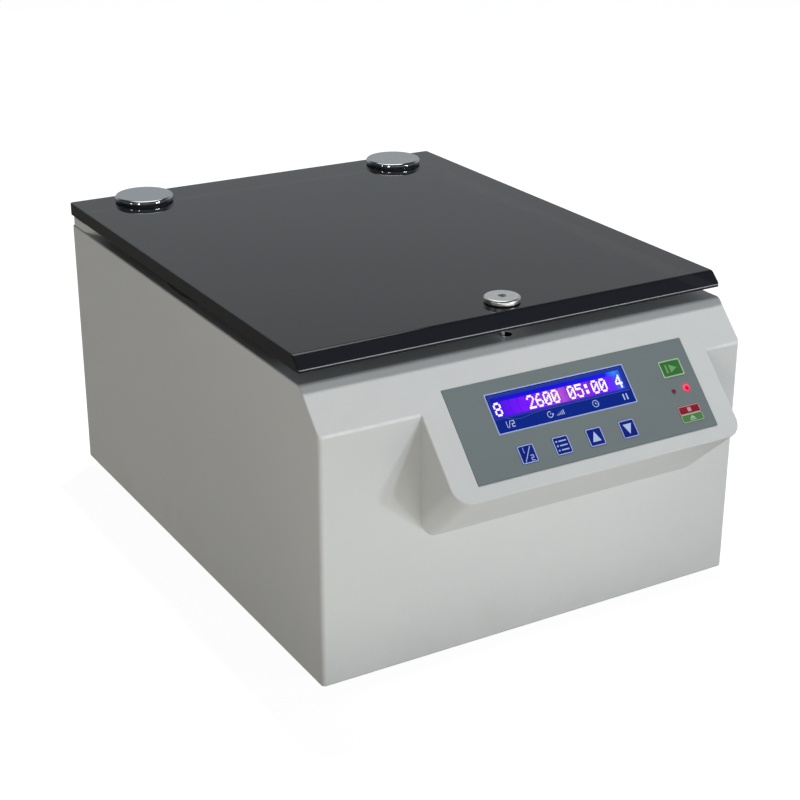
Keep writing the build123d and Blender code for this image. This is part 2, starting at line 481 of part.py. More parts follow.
# rotating parts
add("motor_shaft", cyl(MX, MY, 10.0, 118.0, 6.0) + cyl(MX, MY, 117.0, 130.0, 4.0))
add("motor_magnet", ring(MX, MY, 26.0, 57.0, 6.0, 22.5))
rp = cyl(MX, MY, 94.0, 98.0, ROTOR_R)
rp = rp + revolve_z([(0, 91.0), (22.0, 91.0), (26.0, 94.0), (26.0, 98.0), (19.0, 103.0), (17.0, 116.0), (0, 116.0)], MX, MY)
for i in range(4):
    c = Pos(MX, MY, 0) * Rot(0, 0, 45 + 90 * i)
    for st in (-1, 1):
        t0, t1 = sorted((st * 17.5, st * 20.7))
        ear = bx(PIV_R - 8, PIV_R + 8, t0, t1, 97.0, PIV_Z) + Pos(PIV_R, (t0 + t1) / 2, PIV_Z) * Rot(90, 0, 0) * Cylinder(8.0, t1 - t0)
        rp = rp + c * ear
for i in range(4):
    c = Pos(MX, MY, 0) * Rot(0, 0, 45 + 90 * i)
    rp -= c * (Pos(PIV_R, 0, PIV_Z) * Rot(90, 0, 0) * Cylinder(2.0, 60))
for i in range(4):
    c = Pos(MX, MY, 0) * Rot(0, 0, 90 * i)
    rp -= c * (Pos(70.0, 0, 96) * Cylinder(20.0, 10))
rp -= cyl(MX, MY, 80.0, 120.0, 6.0)
add("rotor_head", rp)
knob = cyl(MX, MY, 116.0, 136.0, 15.0)
for i in range(12):
    knob -= Pos(MX, MY, 0) * Rot(0, 0, 30 * i) * (Pos(16.6, 0, 126) * Cylinder(2.6, 30))
knob = knob + cyl(MX, MY, 136.0, 138.0, 12.0)
knob -= cyl(MX, MY, 110.0, 130.2, 4.0)
knob -= cyl(MX, MY, 115.0, 118.0, 6.0)
add("rotor_knob", knob)


def holder(i, shape):
    """Puts a piece drawn upright, outwards along +x, onto rotor station i, leaning in."""
    lean = Pos(PIV_R, 0, PIV_Z) * Rot(0, -LEAN, 0) * Pos(-PIV_R, 0, -PIV_Z)
    return Pos(MX, MY, 0) * Rot(0, 0, 45 + 90 * i) * lean * shape


clip = bx(104.0, 105.4, -15.5, 15.5, 101.2, 176.0)
clip -= bx(103, 107, -9.0, 9.0, 126.0, 168.0)
clip = clip + bx(99.0, 105.4, -15.5, 15.5, 101.2, 102.5)
for st in (-1, 1):
    t0, t1 = sorted((st * 13.9, st * 15.5))
    clip = clip + bx(97.5, 105.4, t0, t1, 101.2, 128.0) + bx(99.5, 105.4, t0, t1, 128.0, 172.0)
    t0, t1 = sorted((st * 15.0, st * 20.5))
    clip = clip + Pos(PIV_R, (t0 + t1) / 2, PIV_Z) * Rot(90, 0, 0) * Cylinder(1.95, t1 - t0)
slide = bx(103.0, 104.0, -13.0, 13.0, 102.5, 178.5)
funnel = bx(100.0, 103.0, -12.5, 12.5, 108.0, 170.0)
funnel = funnel + (Pos(92.0, 0, 136.0) * Rot(0, 90, 0) * Cylinder(7.5, 22.0))
funnel = funnel + cyl(84.0, 0, 127.0, 168.0, 9.5)
funnel -= cyl(84.0, 0, 130.0, 170.0, 7.8)
funnel -= Pos(94.0, 0, 136.0) * Rot(0, 90, 0) * Cylinder(3.2, 24.0)
for i in range(4):
    add(f"slide_clip_{i + 1}", holder(i, clip))
    add(f"glass_slide_{i + 1}", holder(i, slide))
    add(f"sample_funnel_{i + 1}", holder(i, funnel))

# ---------------------------------------------------------------- electrics
add("main_board", bx(-120, 60, 14, 104, 13.0, 14.6), *[cyl(-30 + 26 * i, 44, 14.6, 50.0, 11.0) for i in range(3)])
add("chassis_posts", *mount_posts, *bp, *standoffs, *[cyl(x, y, 3.0, 13.0, 3.0) for x in (-114, 54) for y in (20, 98)])
hsk = bx(-110, -50, 24, 60, 14.6, 20.0)
for i in range(8):
    hsk = hsk + bx(-110 + 8.2 * i, -107.4 + 8.2 * i, 24, 60, 20.0, 44.0)
add("drive_heatsink", hsk)
tr = bx(20, 90, 300, 352, 12.0, 70.0) + bx(30, 80, 290, 362, 20.0, 62.0)
tr = tr + bx(14, 96, 304, 310, 3.0, 14.0) + bx(14, 96, 342, 348, 3.0, 14.0)
add("transformer", tr)

# appliance inlet with a fuse drawer above its socket
iy0, iy1 = D - 22.0, D + 2.4
inl = bx(INLET_X - 13.8, INLET_X + 13.8, iy0, D, INLET_Z - 18.8, INLET_Z + 18.8)
fl = Plane.XZ * (Pos(INLET_X, INLET_Z) * RectangleRounded(50.0, 44.0, 5.0))
inl = inl + Pos(0, D + 2.4, 0) * extrude(fl, amount=2.4)
inl -= bx(INLET_X - 11.6, INLET_X + 11.6, D - 15.0, D + 5, INLET_Z - 17.0, INLET_Z - 0.5)
inl -= bx(INLET_X - 11.2, INLET_X + 11.2, D - 18.0, D + 5, INLET_Z + 3.4, INLET_Z + 16.6)
for sx in (-1, 1):
    inl -= cyl_y(INLET_X + sx * 20.0, D - 1, D + 5, INLET_Z, 1.75)
blades = []
for (dx, dz) in ((-7.0, -10.6), (0.0, -6.2), (7.0, -10.6)):
    blades.append(bx(INLET_X + dx - 1.0, INLET_X + dx + 1.0, D - 15.0, D - 2.0, INLET_Z + dz - 2.0, INLET_Z + dz + 2.0))
add("power_inlet", inl, *blades)
add("rear_screws", *hs, *[cyl_y(INLET_X + sx * 20.0, D + 2.4, D + 4.0, INLET_Z, 3.0) + cyl_y(INLET_X + sx * 20.0, D - 8.0 + 8.0, D + 2.5, INLET_Z, 1.7) for sx in (-1, 1)])
fd = bx(INLET_X - 10.8, INLET_X + 10.8, D - 17.0, D + 2.6, INLET_Z + 3.8, INLET_Z + 16.2)
fd -= bx(INLET_X - 9.4, INLET_X + 9.4, D - 16.0, D - 2.0, INLET_Z + 6.0, INLET_Z + 18.0)
fd -= bx(INLET_X - 4.0, INLET_X + 4.0, D + 1.6, D + 4.0, INLET_Z + 8.0, INLET_Z + 12.0)
add("fuse_drawer", fd)

# rocker power switch
bz_ = bx(SW_X - 6.4, SW_X + 6.4, D - 18.0, D, SW_Z - 9.4, SW_Z + 9.4) + bx(SW_X - 7.6, SW_X + 7.6, D, D + 1.8, SW_Z - 10.6, SW_Z + 10.6)
bz_ -= bx(SW_X - 5.3, SW_X + 5.3, D - 9.0, D + 5, SW_Z - 8.3, SW_Z + 8.3)
add("switch_bezel", bz_)
# the rocker: its front is two faces that meet in a shallow V; it rocks about a pin along x
RK_Y = D - 3.0
rk_pts = [(D - 7.0, SW_Z - 4.0), (D - 1.5, SW_Z - 6.9), (D + 3.2, SW_Z - 6.8), (D + 1.5, SW_Z), (D + 1.8, SW_Z + 7.2), (D - 1.8, SW_Z + 7.2), (D - 7.0, SW_Z + 4.0)]
rk = prism_x(rk_pts, SW_X - 4.9, SW_X + 4.9)
add("power_rocker", rk)

n = sum(len(v) for v in NODES.values())
print("nodes", len(NODES), "solids", n)
lo = [min(getattr(s.bounding_box().min, k) for v in NODES.values() for s in v) for k in "XYZ"]
hi = [max(getattr(s.bounding_box().max, k) for v in NODES.values() for s in v) for k in "XYZ"]
print("box", [round(q, 2) for q in lo], [round(q, 2) for q in hi])
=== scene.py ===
import math

import bmesh
import bpy
from mathutils import Matrix, Vector


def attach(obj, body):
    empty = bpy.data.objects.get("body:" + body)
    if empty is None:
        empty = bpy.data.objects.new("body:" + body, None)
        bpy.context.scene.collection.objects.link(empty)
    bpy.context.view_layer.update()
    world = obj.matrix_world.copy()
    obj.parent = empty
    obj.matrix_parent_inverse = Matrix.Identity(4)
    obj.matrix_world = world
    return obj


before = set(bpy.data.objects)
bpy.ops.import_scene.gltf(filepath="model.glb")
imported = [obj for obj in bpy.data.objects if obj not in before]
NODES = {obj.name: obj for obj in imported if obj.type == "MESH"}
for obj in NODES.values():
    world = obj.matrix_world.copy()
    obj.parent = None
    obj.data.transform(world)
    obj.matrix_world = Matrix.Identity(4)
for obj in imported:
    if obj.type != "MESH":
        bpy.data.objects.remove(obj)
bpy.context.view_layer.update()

# ------------------------------------------------------------------ shared numbers, in metres
YC, FOOT = 0.174345, 0.008                       # housing frame to row frame
O_SLOPE = Vector((0.0, 0.0229 - YC, 0.1845 + FOOT))
ANG = math.atan2(184.5 - 160.6, 22.9)
UP = Vector((0, math.cos(ANG), math.sin(ANG)))   # up the slope
OUT = Vector((0, -math.sin(ANG), math.cos(ANG)))  # out of the slope
SLOPE = Matrix((
    (1, 0, 0, O_SLOPE.x),
    (0, UP.y, OUT.y, O_SLOPE.y),
    (0, UP.z, OUT.z, O_SLOPE.z),
    (0, 0, 0, 1),
))
MM = 0.001
scene = bpy.context.scene


# ------------------------------------------------------------------ node helpers
class Mat:
    """A small wrapper that keeps the node code short."""

    def __init__(self, name):
        self.m = bpy.data.materials.new(name)
        self.m.use_nodes = True
        self.t = self.m.node_tree
        self.t.nodes.clear()
        self.out = self.t.nodes.new("ShaderNodeOutputMaterial")
        self.b = self.t.nodes.new("ShaderNodeBsdfPrincipled")
        self.t.links.new(self.b.outputs[0], self.out.inputs[0])
        self.tc = self.t.nodes.new("ShaderNodeTexCoord")

    def link(self, a, b):
        self.t.links.new(a, b)

    def obj(self):
        return self.tc.outputs["Object"]

    def scaled(self, sx, sy, sz, rot=(0, 0, 0)):
        n = self.t.nodes.new("ShaderNodeMapping")
        n.inputs["Scale"].default_value = (sx, sy, sz)
        n.inputs["Rotation"].default_value = rot
        self.link(self.obj(), n.inputs["Vector"])
        return n.outputs[0]

    def noise(self, scale, detail=2.0, rough=0.5, vec=None, dist=0.0):
        n = self.t.nodes.new("ShaderNodeTexNoise")
        n.inputs["Scale"].default_value = scale
        n.inputs["Detail"].default_value = detail
        n.inputs["Roughness"].default_value = rough
        n.inputs["Distortion"].default_value = dist
        self.link(vec or self.obj(), n.inputs["Vector"])
        return n.outputs["Fac"]

    def voronoi(self, scale, vec=None, feature="F1"):
        n = self.t.nodes.new("ShaderNodeTexVoronoi")
        n.feature = feature
        n.inputs["Scale"].default_value = scale
        self.link(vec or self.obj(), n.inputs["Vector"])
        return n.outputs["Distance"]

    def remap(self, val, a, b, c, d, clamp=True):
        n = self.t.nodes.new("ShaderNodeMapRange")
        n.clamp = clamp
        for i, x in zip((1, 2, 3, 4), (a, b, c, d)):
            n.inputs[i].default_value = x
        self.link(val, n.inputs[0])
        return n.outputs[0]

    def math(self, op, a, b=None):
        n = self.t.nodes.new("ShaderNodeMath")
        n.operation = op
        for i, v in enumerate((a, b)):
            if v is None:
                continue
            if isinstance(v, (int, float)):
                n.inputs[i].default_value = v
            else:
                self.link(v, n.inputs[i])
        return n.outputs[0]

    def mix(self, fac, ca, cb):
        n = self.t.nodes.new("ShaderNodeMix")
        n.data_type = "RGBA"
        for sock, v in ((n.inputs[0], fac), (n.inputs[6], ca), (n.inputs[7], cb)):
            if isinstance(v, (int, float)):
                sock.default_value = v
            elif isinstance(v, tuple):
                sock.default_value = (*v, 1.0) if len(v) == 3 else v
            else:
                self.link(v, sock)
        return n.outputs[2]

    def ramp(self, val, stops):
        n = self.t.nodes.new("ShaderNodeValToRGB")
        r = n.color_ramp
        while len(r.elements) > 1:
            r.elements.remove(r.elements[-1])
        r.elements[0].position = stops[0][0]
        r.elements[0].color = (*stops[0][1], 1)
        for p, c in stops[1:]:
            e = r.elements.new(p)
            e.color = (*c, 1)
        self.link(val, n.inputs[0])
        return n.outputs[0]

    def axis(self, k):
        n = self.t.nodes.new("ShaderNodeSeparateXYZ")
        self.link(self.obj(), n.inputs[0])
        return n.outputs[k]

    def plane(self, direction, offset):
        """How far each point lies along a direction, less an offset."""
        n = self.t.nodes.new("ShaderNodeVectorMath")
        n.operation = "DOT_PRODUCT"
        n.inputs[1].default_value = direction
        self.link(self.obj(), n.inputs[0])
        return self.math("SUBTRACT", n.outputs["Value"], offset)

    def radius(self, a, b):
        return self.math("SQRT", self.math("ADD", self.math("MULTIPLY", a, a), self.math("MULTIPLY", b, b)))

    def facing(self, k):
        """One component of the surface's own normal."""
        n = self.t.nodes.new("ShaderNodeSeparateXYZ")
        self.link(self.tc.outputs["Normal"], n.inputs[0])
        return n.outputs[k]

    def bump(self, height, strength, distance, normal=None):
        n = self.t.nodes.new("ShaderNodeBump")
        n.inputs["Strength"].default_value = strength
        n.inputs["Distance"].default_value = distance
        self.link(height, n.inputs["Height"])
        if normal is not None:
            self.link(normal, n.inputs["Normal"])
        return n.outputs[0]

    def set(self, **kw):
        names = {"base": "Base Color", "rough": "Roughness", "metal": "Metallic", "ior": "IOR", "alpha": "Alpha", "spec": "Specular IOR Level",
                 "coat": "Coat Weight", "coat_rough": "Coat Roughness", "emit": "Emission Color", "emit_s": "Emission Strength", "normal": "Normal",
                 "aniso": "Anisotropic", "trans": "Transmission Weight", "sss": "Subsurface Weight", "sheen": "Sheen Weight"}
        for k, v in kw.items():
            s = self.b.inputs[names[k]]
            if isinstance(v, (int, float)):
                s.default_value = v
            elif isinstance(v, tuple):
                s.default_value = (*v, 1.0) if len(v) == 3 else v
            else:
                self.link(v, s)
        return self


def plastic(name, c0, c1, rough=(0.42, 0.52), grain=700.0, depth=0.00003, blotch=7.0, spec=0.5, strength=0.6, coat=0.0):
    m = Mat(name)
    big = m.noise(blotch, 4.0, 0.6)
    fine = m.noise(grain, 2.0, 0.55)
    f = m.math("ADD", m.math("MULTIPLY", big, 0.75), m.math("MULTIPLY", fine, 0.25))
    m.set(base=m.mix(m.remap(f, 0.3, 0.7, 0, 1), c0, c1))
    m.set(rough=m.remap(m.noise(blotch * 5, 3.0), 0.3, 0.7, *rough), spec=spec, coat=coat)
    m.set(normal=m.bump(fine, strength, depth))
    return m


def metal(name, c0, c1, rough=(0.22, 0.34), brush=(20, 900, 900), depth=0.000006, strength=0.5):
    """Brushed metal: the noise is stretched along the first small scale."""
    m = Mat(name)
    lines = m.noise(1.0, 3.0, 0.6, vec=m.scaled(*brush))
    smear = m.noise(18.0, 3.0, 0.6)
    m.set(base=m.mix(m.remap(lines, 0.3, 0.7, 0, 1), c0, c1), metal=1.0)
    f = m.math("ADD", m.math("MULTIPLY", lines, 0.5), m.math("MULTIPLY", smear, 0.5))
    m.set(rough=m.remap(f, 0.3, 0.7, *rough))
    m.set(normal=m.bump(lines, strength, depth))
    return m


def turned(name, c0, c1, centre, rough=(0.18, 0.30), pitch=2200.0, depth=0.000004, strength=0.4):
    """Lathe-turned metal: fine rings round an upright axis."""
    m = Mat(name)
    mp = m.t.nodes.new("ShaderNodeMapping")
    mp.inputs["Location"].default_value = (-centre[0], -centre[1], 0)
    m.link(m.obj(), mp.inputs["Vector"])
    s = m.t.nodes.new("ShaderNodeSeparateXYZ")
    m.link(mp.outputs[0], s.inputs[0])
    r = m.math("SQRT", m.math("ADD", m.math("MULTIPLY", s.outputs[0], s.outputs[0]), m.math("MULTIPLY", s.outputs[1], s.outputs[1])))
    comb = m.t.nodes.new("ShaderNodeCombineXYZ")
    m.link(r, comb.inputs[0])
    m.link(s.outputs[2], comb.inputs[1])
    rings = m.noise(pitch, 2.0, 0.5, vec=comb.outputs[0])
    smear = m.noise(30.0, 3.0, 0.6)
    m.set(base=m.mix(rings, c0, c1), metal=1.0)
    f = m.math("ADD", m.math("MULTIPLY", rings, 0.5), m.math("MULTIPLY", smear, 0.5))
    m.set(rough=m.remap(f, 0.3, 0.7, *rough))
    m.set(normal=m.bump(rings, strength, depth))
    return m


def glow(name, colour, strength, rough=0.25, c1=None, scale=900.0, base=(0.02, 0.02, 0.03)):
    m = Mat(name)
    n = m.noise(scale, 1.0)
    c1 = c1 or tuple(x * 0.86 for x in colour)
    m.set(base=base, rough=rough, emit=m.mix(m.remap(n, 0.35, 0.65, 0, 1), colour, c1), emit_s=strength)
    return m


# ------------------------------------------------------------------ materials
# fine-textured light grey shell
shell = Mat("shell_moulded")
sp_big = shell.noise(5.0, 4.0, 0.6)
sp_mid = shell.noise(60.0, 3.0, 0.6)
sp_fine = shell.noise(620.0, 2.0, 0.6)
sp_cell = shell.voronoi(820.0)
tone = shell.math("ADD", shell.math("MULTIPLY", sp_big, 0.5), shell.math("ADD", shell.math("MULTIPLY", sp_mid, 0.2), shell.math("MULTIPLY", sp_fine, 0.3)))
base_c = shell.mix(shell.remap(tone, 0.34, 0.66, 0, 1), (0.585, 0.59, 0.588), (0.63, 0.632, 0.625))
# painted shade: the walls are darkened faintly, in blotches, low down near the floor
low = shell.remap(shell.axis(2), 0.008, 0.05, 1.0, 0.0)
painted_low_shade = shell.math("MULTIPLY", low, shell.remap(shell.noise(24.0, 5.0, 0.7), 0.45, 0.75, 0.0, 0.30))
base_c = shell.mix(painted_low_shade, base_c, (0.47, 0.46, 0.43))
# the fold between the slope and the front wall is worn smooth, and its colour is lightened there as a painted highlight
f_y = shell.math("SUBTRACT", shell.axis(1), 0.0004 - YC)
f_z = shell.math("SUBTRACT", shell.axis(2), 0.1606 + FOOT)
fold_smooth_and_highlight = shell.remap(shell.radius(f_y, f_z), 0.0006, 0.0013, 1.0, 0.0)
fold_smooth_and_highlight = shell.math("MULTIPLY", fold_smooth_and_highlight, shell.remap(shell.noise(45.0, 3.0, 0.6), 0.35, 0.60, 0.35, 1.0))
beside = shell.math("MAXIMUM", shell.remap(shell.axis(0), -0.0862, -0.0850, 1.0, 0.0), shell.remap(shell.axis(0), 0.1240, 0.1256, 0.0, 1.0))
fold_smooth_and_highlight = shell.math("MULTIPLY", fold_smooth_and_highlight, beside)      # not where the console covers it
# painted highlight: a light colour along the fold line
base_c = shell.mix(shell.math("MULTIPLY", fold_smooth_and_highlight, 0.75), base_c, (0.84, 0.84, 0.83))
shell_r = shell.remap(sp_mid, 0.3, 0.7, 0.35, 0.44)
shell.set(base=base_c, rough=shell.math("SUBTRACT", shell_r, shell.math("MULTIPLY", fold_smooth_and_highlight, 0.17)), spec=0.5)
hgt = shell.math("ADD", shell.math("MULTIPLY", sp_fine, 0.6), shell.math("MULTIPLY", sp_cell, 0.4))
shell.set(normal=shell.bump(hgt, 0.55, 0.00006))

# dark tinted polished glass, with dust and faint wiping marks; its ground edges are duller,
# and the arris along the front bevel's foot is lightened as a painted highlight
glass = Mat("glass_tinted")
wipe = glass.noise(1.0, 4.0, 0.65, vec=glass.scaled(9, 30, 9, rot=(0, 0, 0.5)))
dust = glass.remap(glass.voronoi(420.0), 0.0, 0.10, 1.0, 0.0)
dmask = glass.math("MULTIPLY", dust, glass.remap(glass.noise(70.0, 2.0), 0.52, 0.62, 0.0, 1.0))
up_n = glass.facing(2)
ground = glass.remap(up_n, 0.30, 0.50, 1.0, 0.0)                       # the upright edges
z_arris = glass.math("ABSOLUTE", glass.math("SUBTRACT", glass.axis(2), 0.20088))
arris_highlight = glass.math("MULTIPLY", glass.remap(z_arris, 0.00016, 0.00028, 1.0, 0.0), glass.remap(glass.axis(1), 0.0236 - YC, 0.0240 - YC, 1.0, 0.0))
# the painted highlight line is broken up a little along its length
arris_highlight_breaks = glass.remap(glass.noise(900.0, 2.0), 0.40, 0.60, 0.75, 1.0)
arris_highlight = glass.math("MULTIPLY", arris_highlight, arris_highlight_breaks)
g_base = glass.mix(glass.math("MULTIPLY", dmask, 0.5), (0.0068, 0.0074, 0.0094), (0.13, 0.13, 0.13))
# painted reflection: faces that tip away from the top get a lighter, bluer colour
bevel = glass.remap(up_n, 0.70, 0.96, 1.0, 0.0)
g_base = glass.mix(bevel, g_base, (0.0152, 0.0160, 0.0222))
g_base = glass.mix(ground, g_base, (0.010, 0.0102, 0.0118))
# painted highlight: the arris line gets a light grey colour
g_base = glass.mix(arris_highlight, g_base, (0.50, 0.49, 0.52))
glass.set(base=g_base, ior=1.52)
g_rough = glass.math("ADD", glass.remap(wipe, 0.35, 0.7, 0.030, 0.075), glass.math("MULTIPLY", dmask, 0.25))
g_rough = glass.math("MAXIMUM", g_rough, glass.math("MULTIPLY", ground, 0.55))
glass.set(rough=glass.math("MAXIMUM", g_rough, glass.math("MULTIPLY", arris_highlight, 0.4)))
glass.set(alpha=glass.math("MAXIMUM", glass.math("MAXIMUM", ground, arris_highlight), 0.93))
glass.set(spec=glass.remap(ground, 0.0, 1.0, 0.5, 0.10))
film = glass.noise(260.0, 2.0, 0.5)
glass.set(normal=glass.bump(film, 0.05, 0.00002))

rubber = plastic("rubber_black", (0.012, 0.012, 0.012), (0.024, 0.024, 0.024), rough=(0.62, 0.8), grain=900, depth=0.00004, blotch=25, spec=0.35)
foot_rub = plastic("rubber_foot", (0.018, 0.018, 0.018), (0.035, 0.034, 0.033), rough=(0.7, 0.88), grain=700, depth=0.00005, blotch=40, spec=0.3)
black_pl = plastic("plastic_black", (0.016, 0.016, 0.017), (0.028, 0.028, 0.029), rough=(0.34, 0.46), grain=1200, depth=0.00002, blotch=20)
overlay_m = plastic("film_grey", (0.155, 0.186, 0.190), (0.170, 0.201, 0.204), rough=(0.44, 0.54), grain=1500, depth=0.000012, blotch=9, spec=0.35)
key_blue = plastic("film_key_blue", (0.0025, 0.013, 0.185), (0.004, 0.018, 0.225), rough=(0.42, 0.5), grain=1700, depth=0.00001, blotch=50, spec=0.22)
key_green = plastic("film_key_green", (0.030, 0.150, 0.022), (0.042, 0.180, 0.034), rough=(0.42, 0.5), grain=1700, depth=0.00001, blotch=50)
key_green2 = plastic("film_key_green_pale", (0.055, 0.200, 0.050), (0.07, 0.235, 0.065), rough=(0.42, 0.5), grain=1700, depth=0.00001, blotch=50)
key_red = plastic("film_key_red", (0.215, 0.006, 0.014), (0.26, 0.009, 0.020), rough=(0.42, 0.5), grain=1700, depth=0.00001, blotch=50)
print_light = plastic("print_lavender", (0.35, 0.42, 0.72), (0.40, 0.46, 0.77), rough=(0.40, 0.48), grain=1900, depth=0.000006, blotch=80)
print_white = plastic("print_white", (0.44, 0.52, 0.78), (0.50, 0.58, 0.83), rough=(0.42, 0.5), grain=1900, depth=0.000006, blotch=80)
print_green = plastic("print_pale_green", (0.36, 0.46, 0.36), (0.40, 0.50, 0.40), rough=(0.42, 0.5), grain=1900, depth=0.000006, blotch=80)
print_red = plastic("print_pale_red", (0.54, 0.30, 0.34), (0.59, 0.33, 0.37), rough=(0.42, 0.5), grain=1900, depth=0.000006, blotch=80)
print_green2 = plastic("print_mid_green", (0.15, 0.33, 0.14), (0.18, 0.37, 0.17), rough=(0.42, 0.5), grain=1900, depth=0.000006, blotch=80)
print_faint = plastic("print_faint_blue", (0.035, 0.060, 0.34), (0.045, 0.072, 0.38), rough=(0.42, 0.5), grain=1900, depth=0.000006, blotch=80, spec=0.25)
print_dark = plastic("print_dark", (0.05, 0.05, 0.055), (0.07, 0.07, 0.075), rough=(0.42, 0.5), grain=1900, depth=0.000006, blotch=80)

chrome = Mat("chrome_cap")
sc = chrome.noise(1.0, 3.0, 0.6, vec=chrome.scaled(60, 700, 60, rot=(0, 0, 0.35)))
ch = chrome.noise(45.0, 3.0, 0.6)
chrome.set(base=chrome.mix(ch, (0.55, 0.575, 0.61), (0.61, 0.635, 0.665)), metal=1.0)
chrome.set(rough=chrome.remap(chrome.math("ADD", chrome.math("MULTIPLY", sc, 0.5), chrome.math("MULTIPLY", ch, 0.5)), 0.35, 0.65, 0.05, 0.11))
chrome.set(normal=chrome.bump(sc, 0.12, 0.000003))
satin = turned("steel_turned", (0.80, 0.805, 0.795), (0.89, 0.89, 0.875), (0.0, 0.047 - YC), rough=(0.27, 0.38), pitch=2600)
shaft_m = turned("steel_shaft", (0.60, 0.60, 0.60), (0.70, 0.70, 0.70), (0.0, 0.203 - YC), rough=(0.16, 0.26))
bowl_m = turned("steel_bowl", (0.56, 0.56, 0.555), (0.68, 0.68, 0.675), (0.0, 0.203 - YC), rough=(0.24, 0.36), pitch=900)
rotor_m = turned("aluminium_rotor", (0.60, 0.61, 0.62), (0.69, 0.70, 0.71), (0.0, 0.203 - YC), rough=(0.28, 0.40), pitch=700)
steel_b = metal("steel_brushed", (0.52, 0.52, 0.515), (0.64, 0.64, 0.63))
steel_z = metal("steel_zinc", (0.48, 0.49, 0.50), (0.62, 0.63, 0.64), rough=(0.32, 0.46), brush=(120, 160, 120), depth=0.00001)
screw_m = metal("steel_screw", (0.50, 0.50, 0.50), (0.64, 0.64, 0.63), rough=(0.22, 0.34), brush=(700, 700, 700), depth=0.00001)
clip_m = metal("steel_clip", (0.58, 0.58, 0.575), (0.70, 0.70, 0.69), rough=(0.18, 0.30), brush=(500, 500, 30))
core_m = metal("steel_core", (0.10, 0.10, 0.105), (0.20, 0.20, 0.205), rough=(0.45, 0.6), brush=(20, 20, 1600), depth=0.00004)
heat_m = metal("aluminium_sink", (0.55, 0.56, 0.57), (0.64, 0.65, 0.66), rough=(0.34, 0.46), brush=(900, 15, 900))
copper_m = metal("copper_winding", (0.45, 0.17, 0.06), (0.62, 0.28, 0.12), rough=(0.3, 0.45), brush=(60, 60, 2200), depth=0.00008, strength=0.9)
brass_m = metal("brass_blade", (0.62, 0.47, 0.22), (0.72, 0.56, 0.30), rough=(0.24, 0.36), brush=(900, 20, 900))

can_m = plastic("paint_motor", (0.020, 0.021, 0.023), (0.032, 0.033, 0.035), rough=(0.3, 0.42), grain=900, depth=0.00003, blotch=16, coat=0.15)
pcb_m = Mat("board_green")
tr_n = pcb_m.noise(240.0, 2.0, 0.7, dist=1.5)
pcb_m.set(base=pcb_m.mix(pcb_m.remap(tr_n, 0.47, 0.53, 0, 1), (0.008, 0.085, 0.035), (0.02, 0.17, 0.065)), rough=pcb_m.remap(tr_n, 0.4, 0.6, 0.3, 0.42))
pcb_m.set(normal=pcb_m.bump(tr_n, 0.4, 0.00004))

funnel_m = plastic("funnel_translucent", (0.78, 0.79, 0.77), (0.85, 0.855, 0.83), rough=(0.24, 0.34), grain=500, depth=0.00002, blotch=40)
funnel_m.set(sss=0.12)
funnel_m.b.inputs["Subsurface Radius"].default_value = (0.003, 0.003, 0.0028)
sl_m = Mat("glass_slide")
sl_d = sl_m.noise(90.0, 4.0, 0.7)
sl_m.set(base=sl_m.mix(sl_d, (0.80, 0.90, 0.87), (0.88, 0.95, 0.93)), rough=sl_m.remap(sl_d, 0.35, 0.7, 0.03, 0.10), alpha=0.32, ior=1.5)
frost_m = plastic("glass_frosted", (0.80, 0.82, 0.82), (0.88, 0.89, 0.89), rough=(0.6, 0.75), grain=1500, depth=0.00002, blotch=90)

# display: printed blue window
lcd_m = Mat("display_window")
lf = lcd_m.noise(30.0, 3.0, 0.6)
lcd_m.set(base=lcd_m.mix(lf, (0.003, 0.016, 0.19), (0.005, 0.022, 0.23)), rough=lcd_m.remap(lf, 0.35, 0.7, 0.22, 0.30), spec=0.25)
lcd_m.set(emit=lcd_m.mix(lf, (0.002, 0.010, 0.14), (0.003, 0.014, 0.18)), emit_s=0.25)
lcd_m.set(normal=lcd_m.bump(lcd_m.noise(500.0, 2.0), 0.05, 0.00001))

led_m = Mat("led_red")
side = led_m.remap(led_m.axis(0), 0.0905, 0.0915, 0.0, 1.0)
lx = led_m.math("SUBTRACT", led_m.axis(0), 0.0973)
ly = led_m.plane(tuple(UP), O_SLOPE.dot(UP) - 0.0543)
l_r = led_m.radius(lx, ly)
lit = led_m.ramp(led_m.remap(l_r, 0.0, 0.0026, 0.0, 1.0), [(0.0, (0.50, 0.002, 0.024)), (0.42, (0.56, 0.004, 0.030)), (0.62, (0.82, 0.045, 0.105)), (0.82, (0.84, 0.105, 0.175)), (1.0, (0.60, 0.12, 0.165))])
dx = led_m.math("SUBTRACT", led_m.axis(0), 0.0870)
dy = led_m.plane(tuple(UP), O_SLOPE.dot(UP) - 0.0545)
d_r = led_m.radius(dx, dy)
dim = led_m.ramp(led_m.remap(d_r, 0.0, 0.0015, 0.0, 1.0), [(0.0, (0.17, 0.008, 0.026)), (0.50, (0.20, 0.014, 0.034)), (0.80, (0.21, 0.075, 0.09)), (1.0, (0.18, 0.15, 0.16))])
grain_l = led_m.noise(900.0, 2.0)
led_c = led_m.mix(side, dim, lit)
led_m.set(base=led_m.mix(0.55, led_c, (0.02, 0.0, 0.002)), rough=led_m.remap(grain_l, 0.3, 0.7, 0.30, 0.40), spec=0.12)
led_m.set(emit=led_c, emit_s=led_m.remap(side, 0, 1, 0.30, 0.92))

pin_m = metal("chrome_pin", (0.78, 0.78, 0.79), (0.86, 0.86, 0.87), rough=(0.30, 0.38), brush=(500, 500, 40), depth=0.000002)

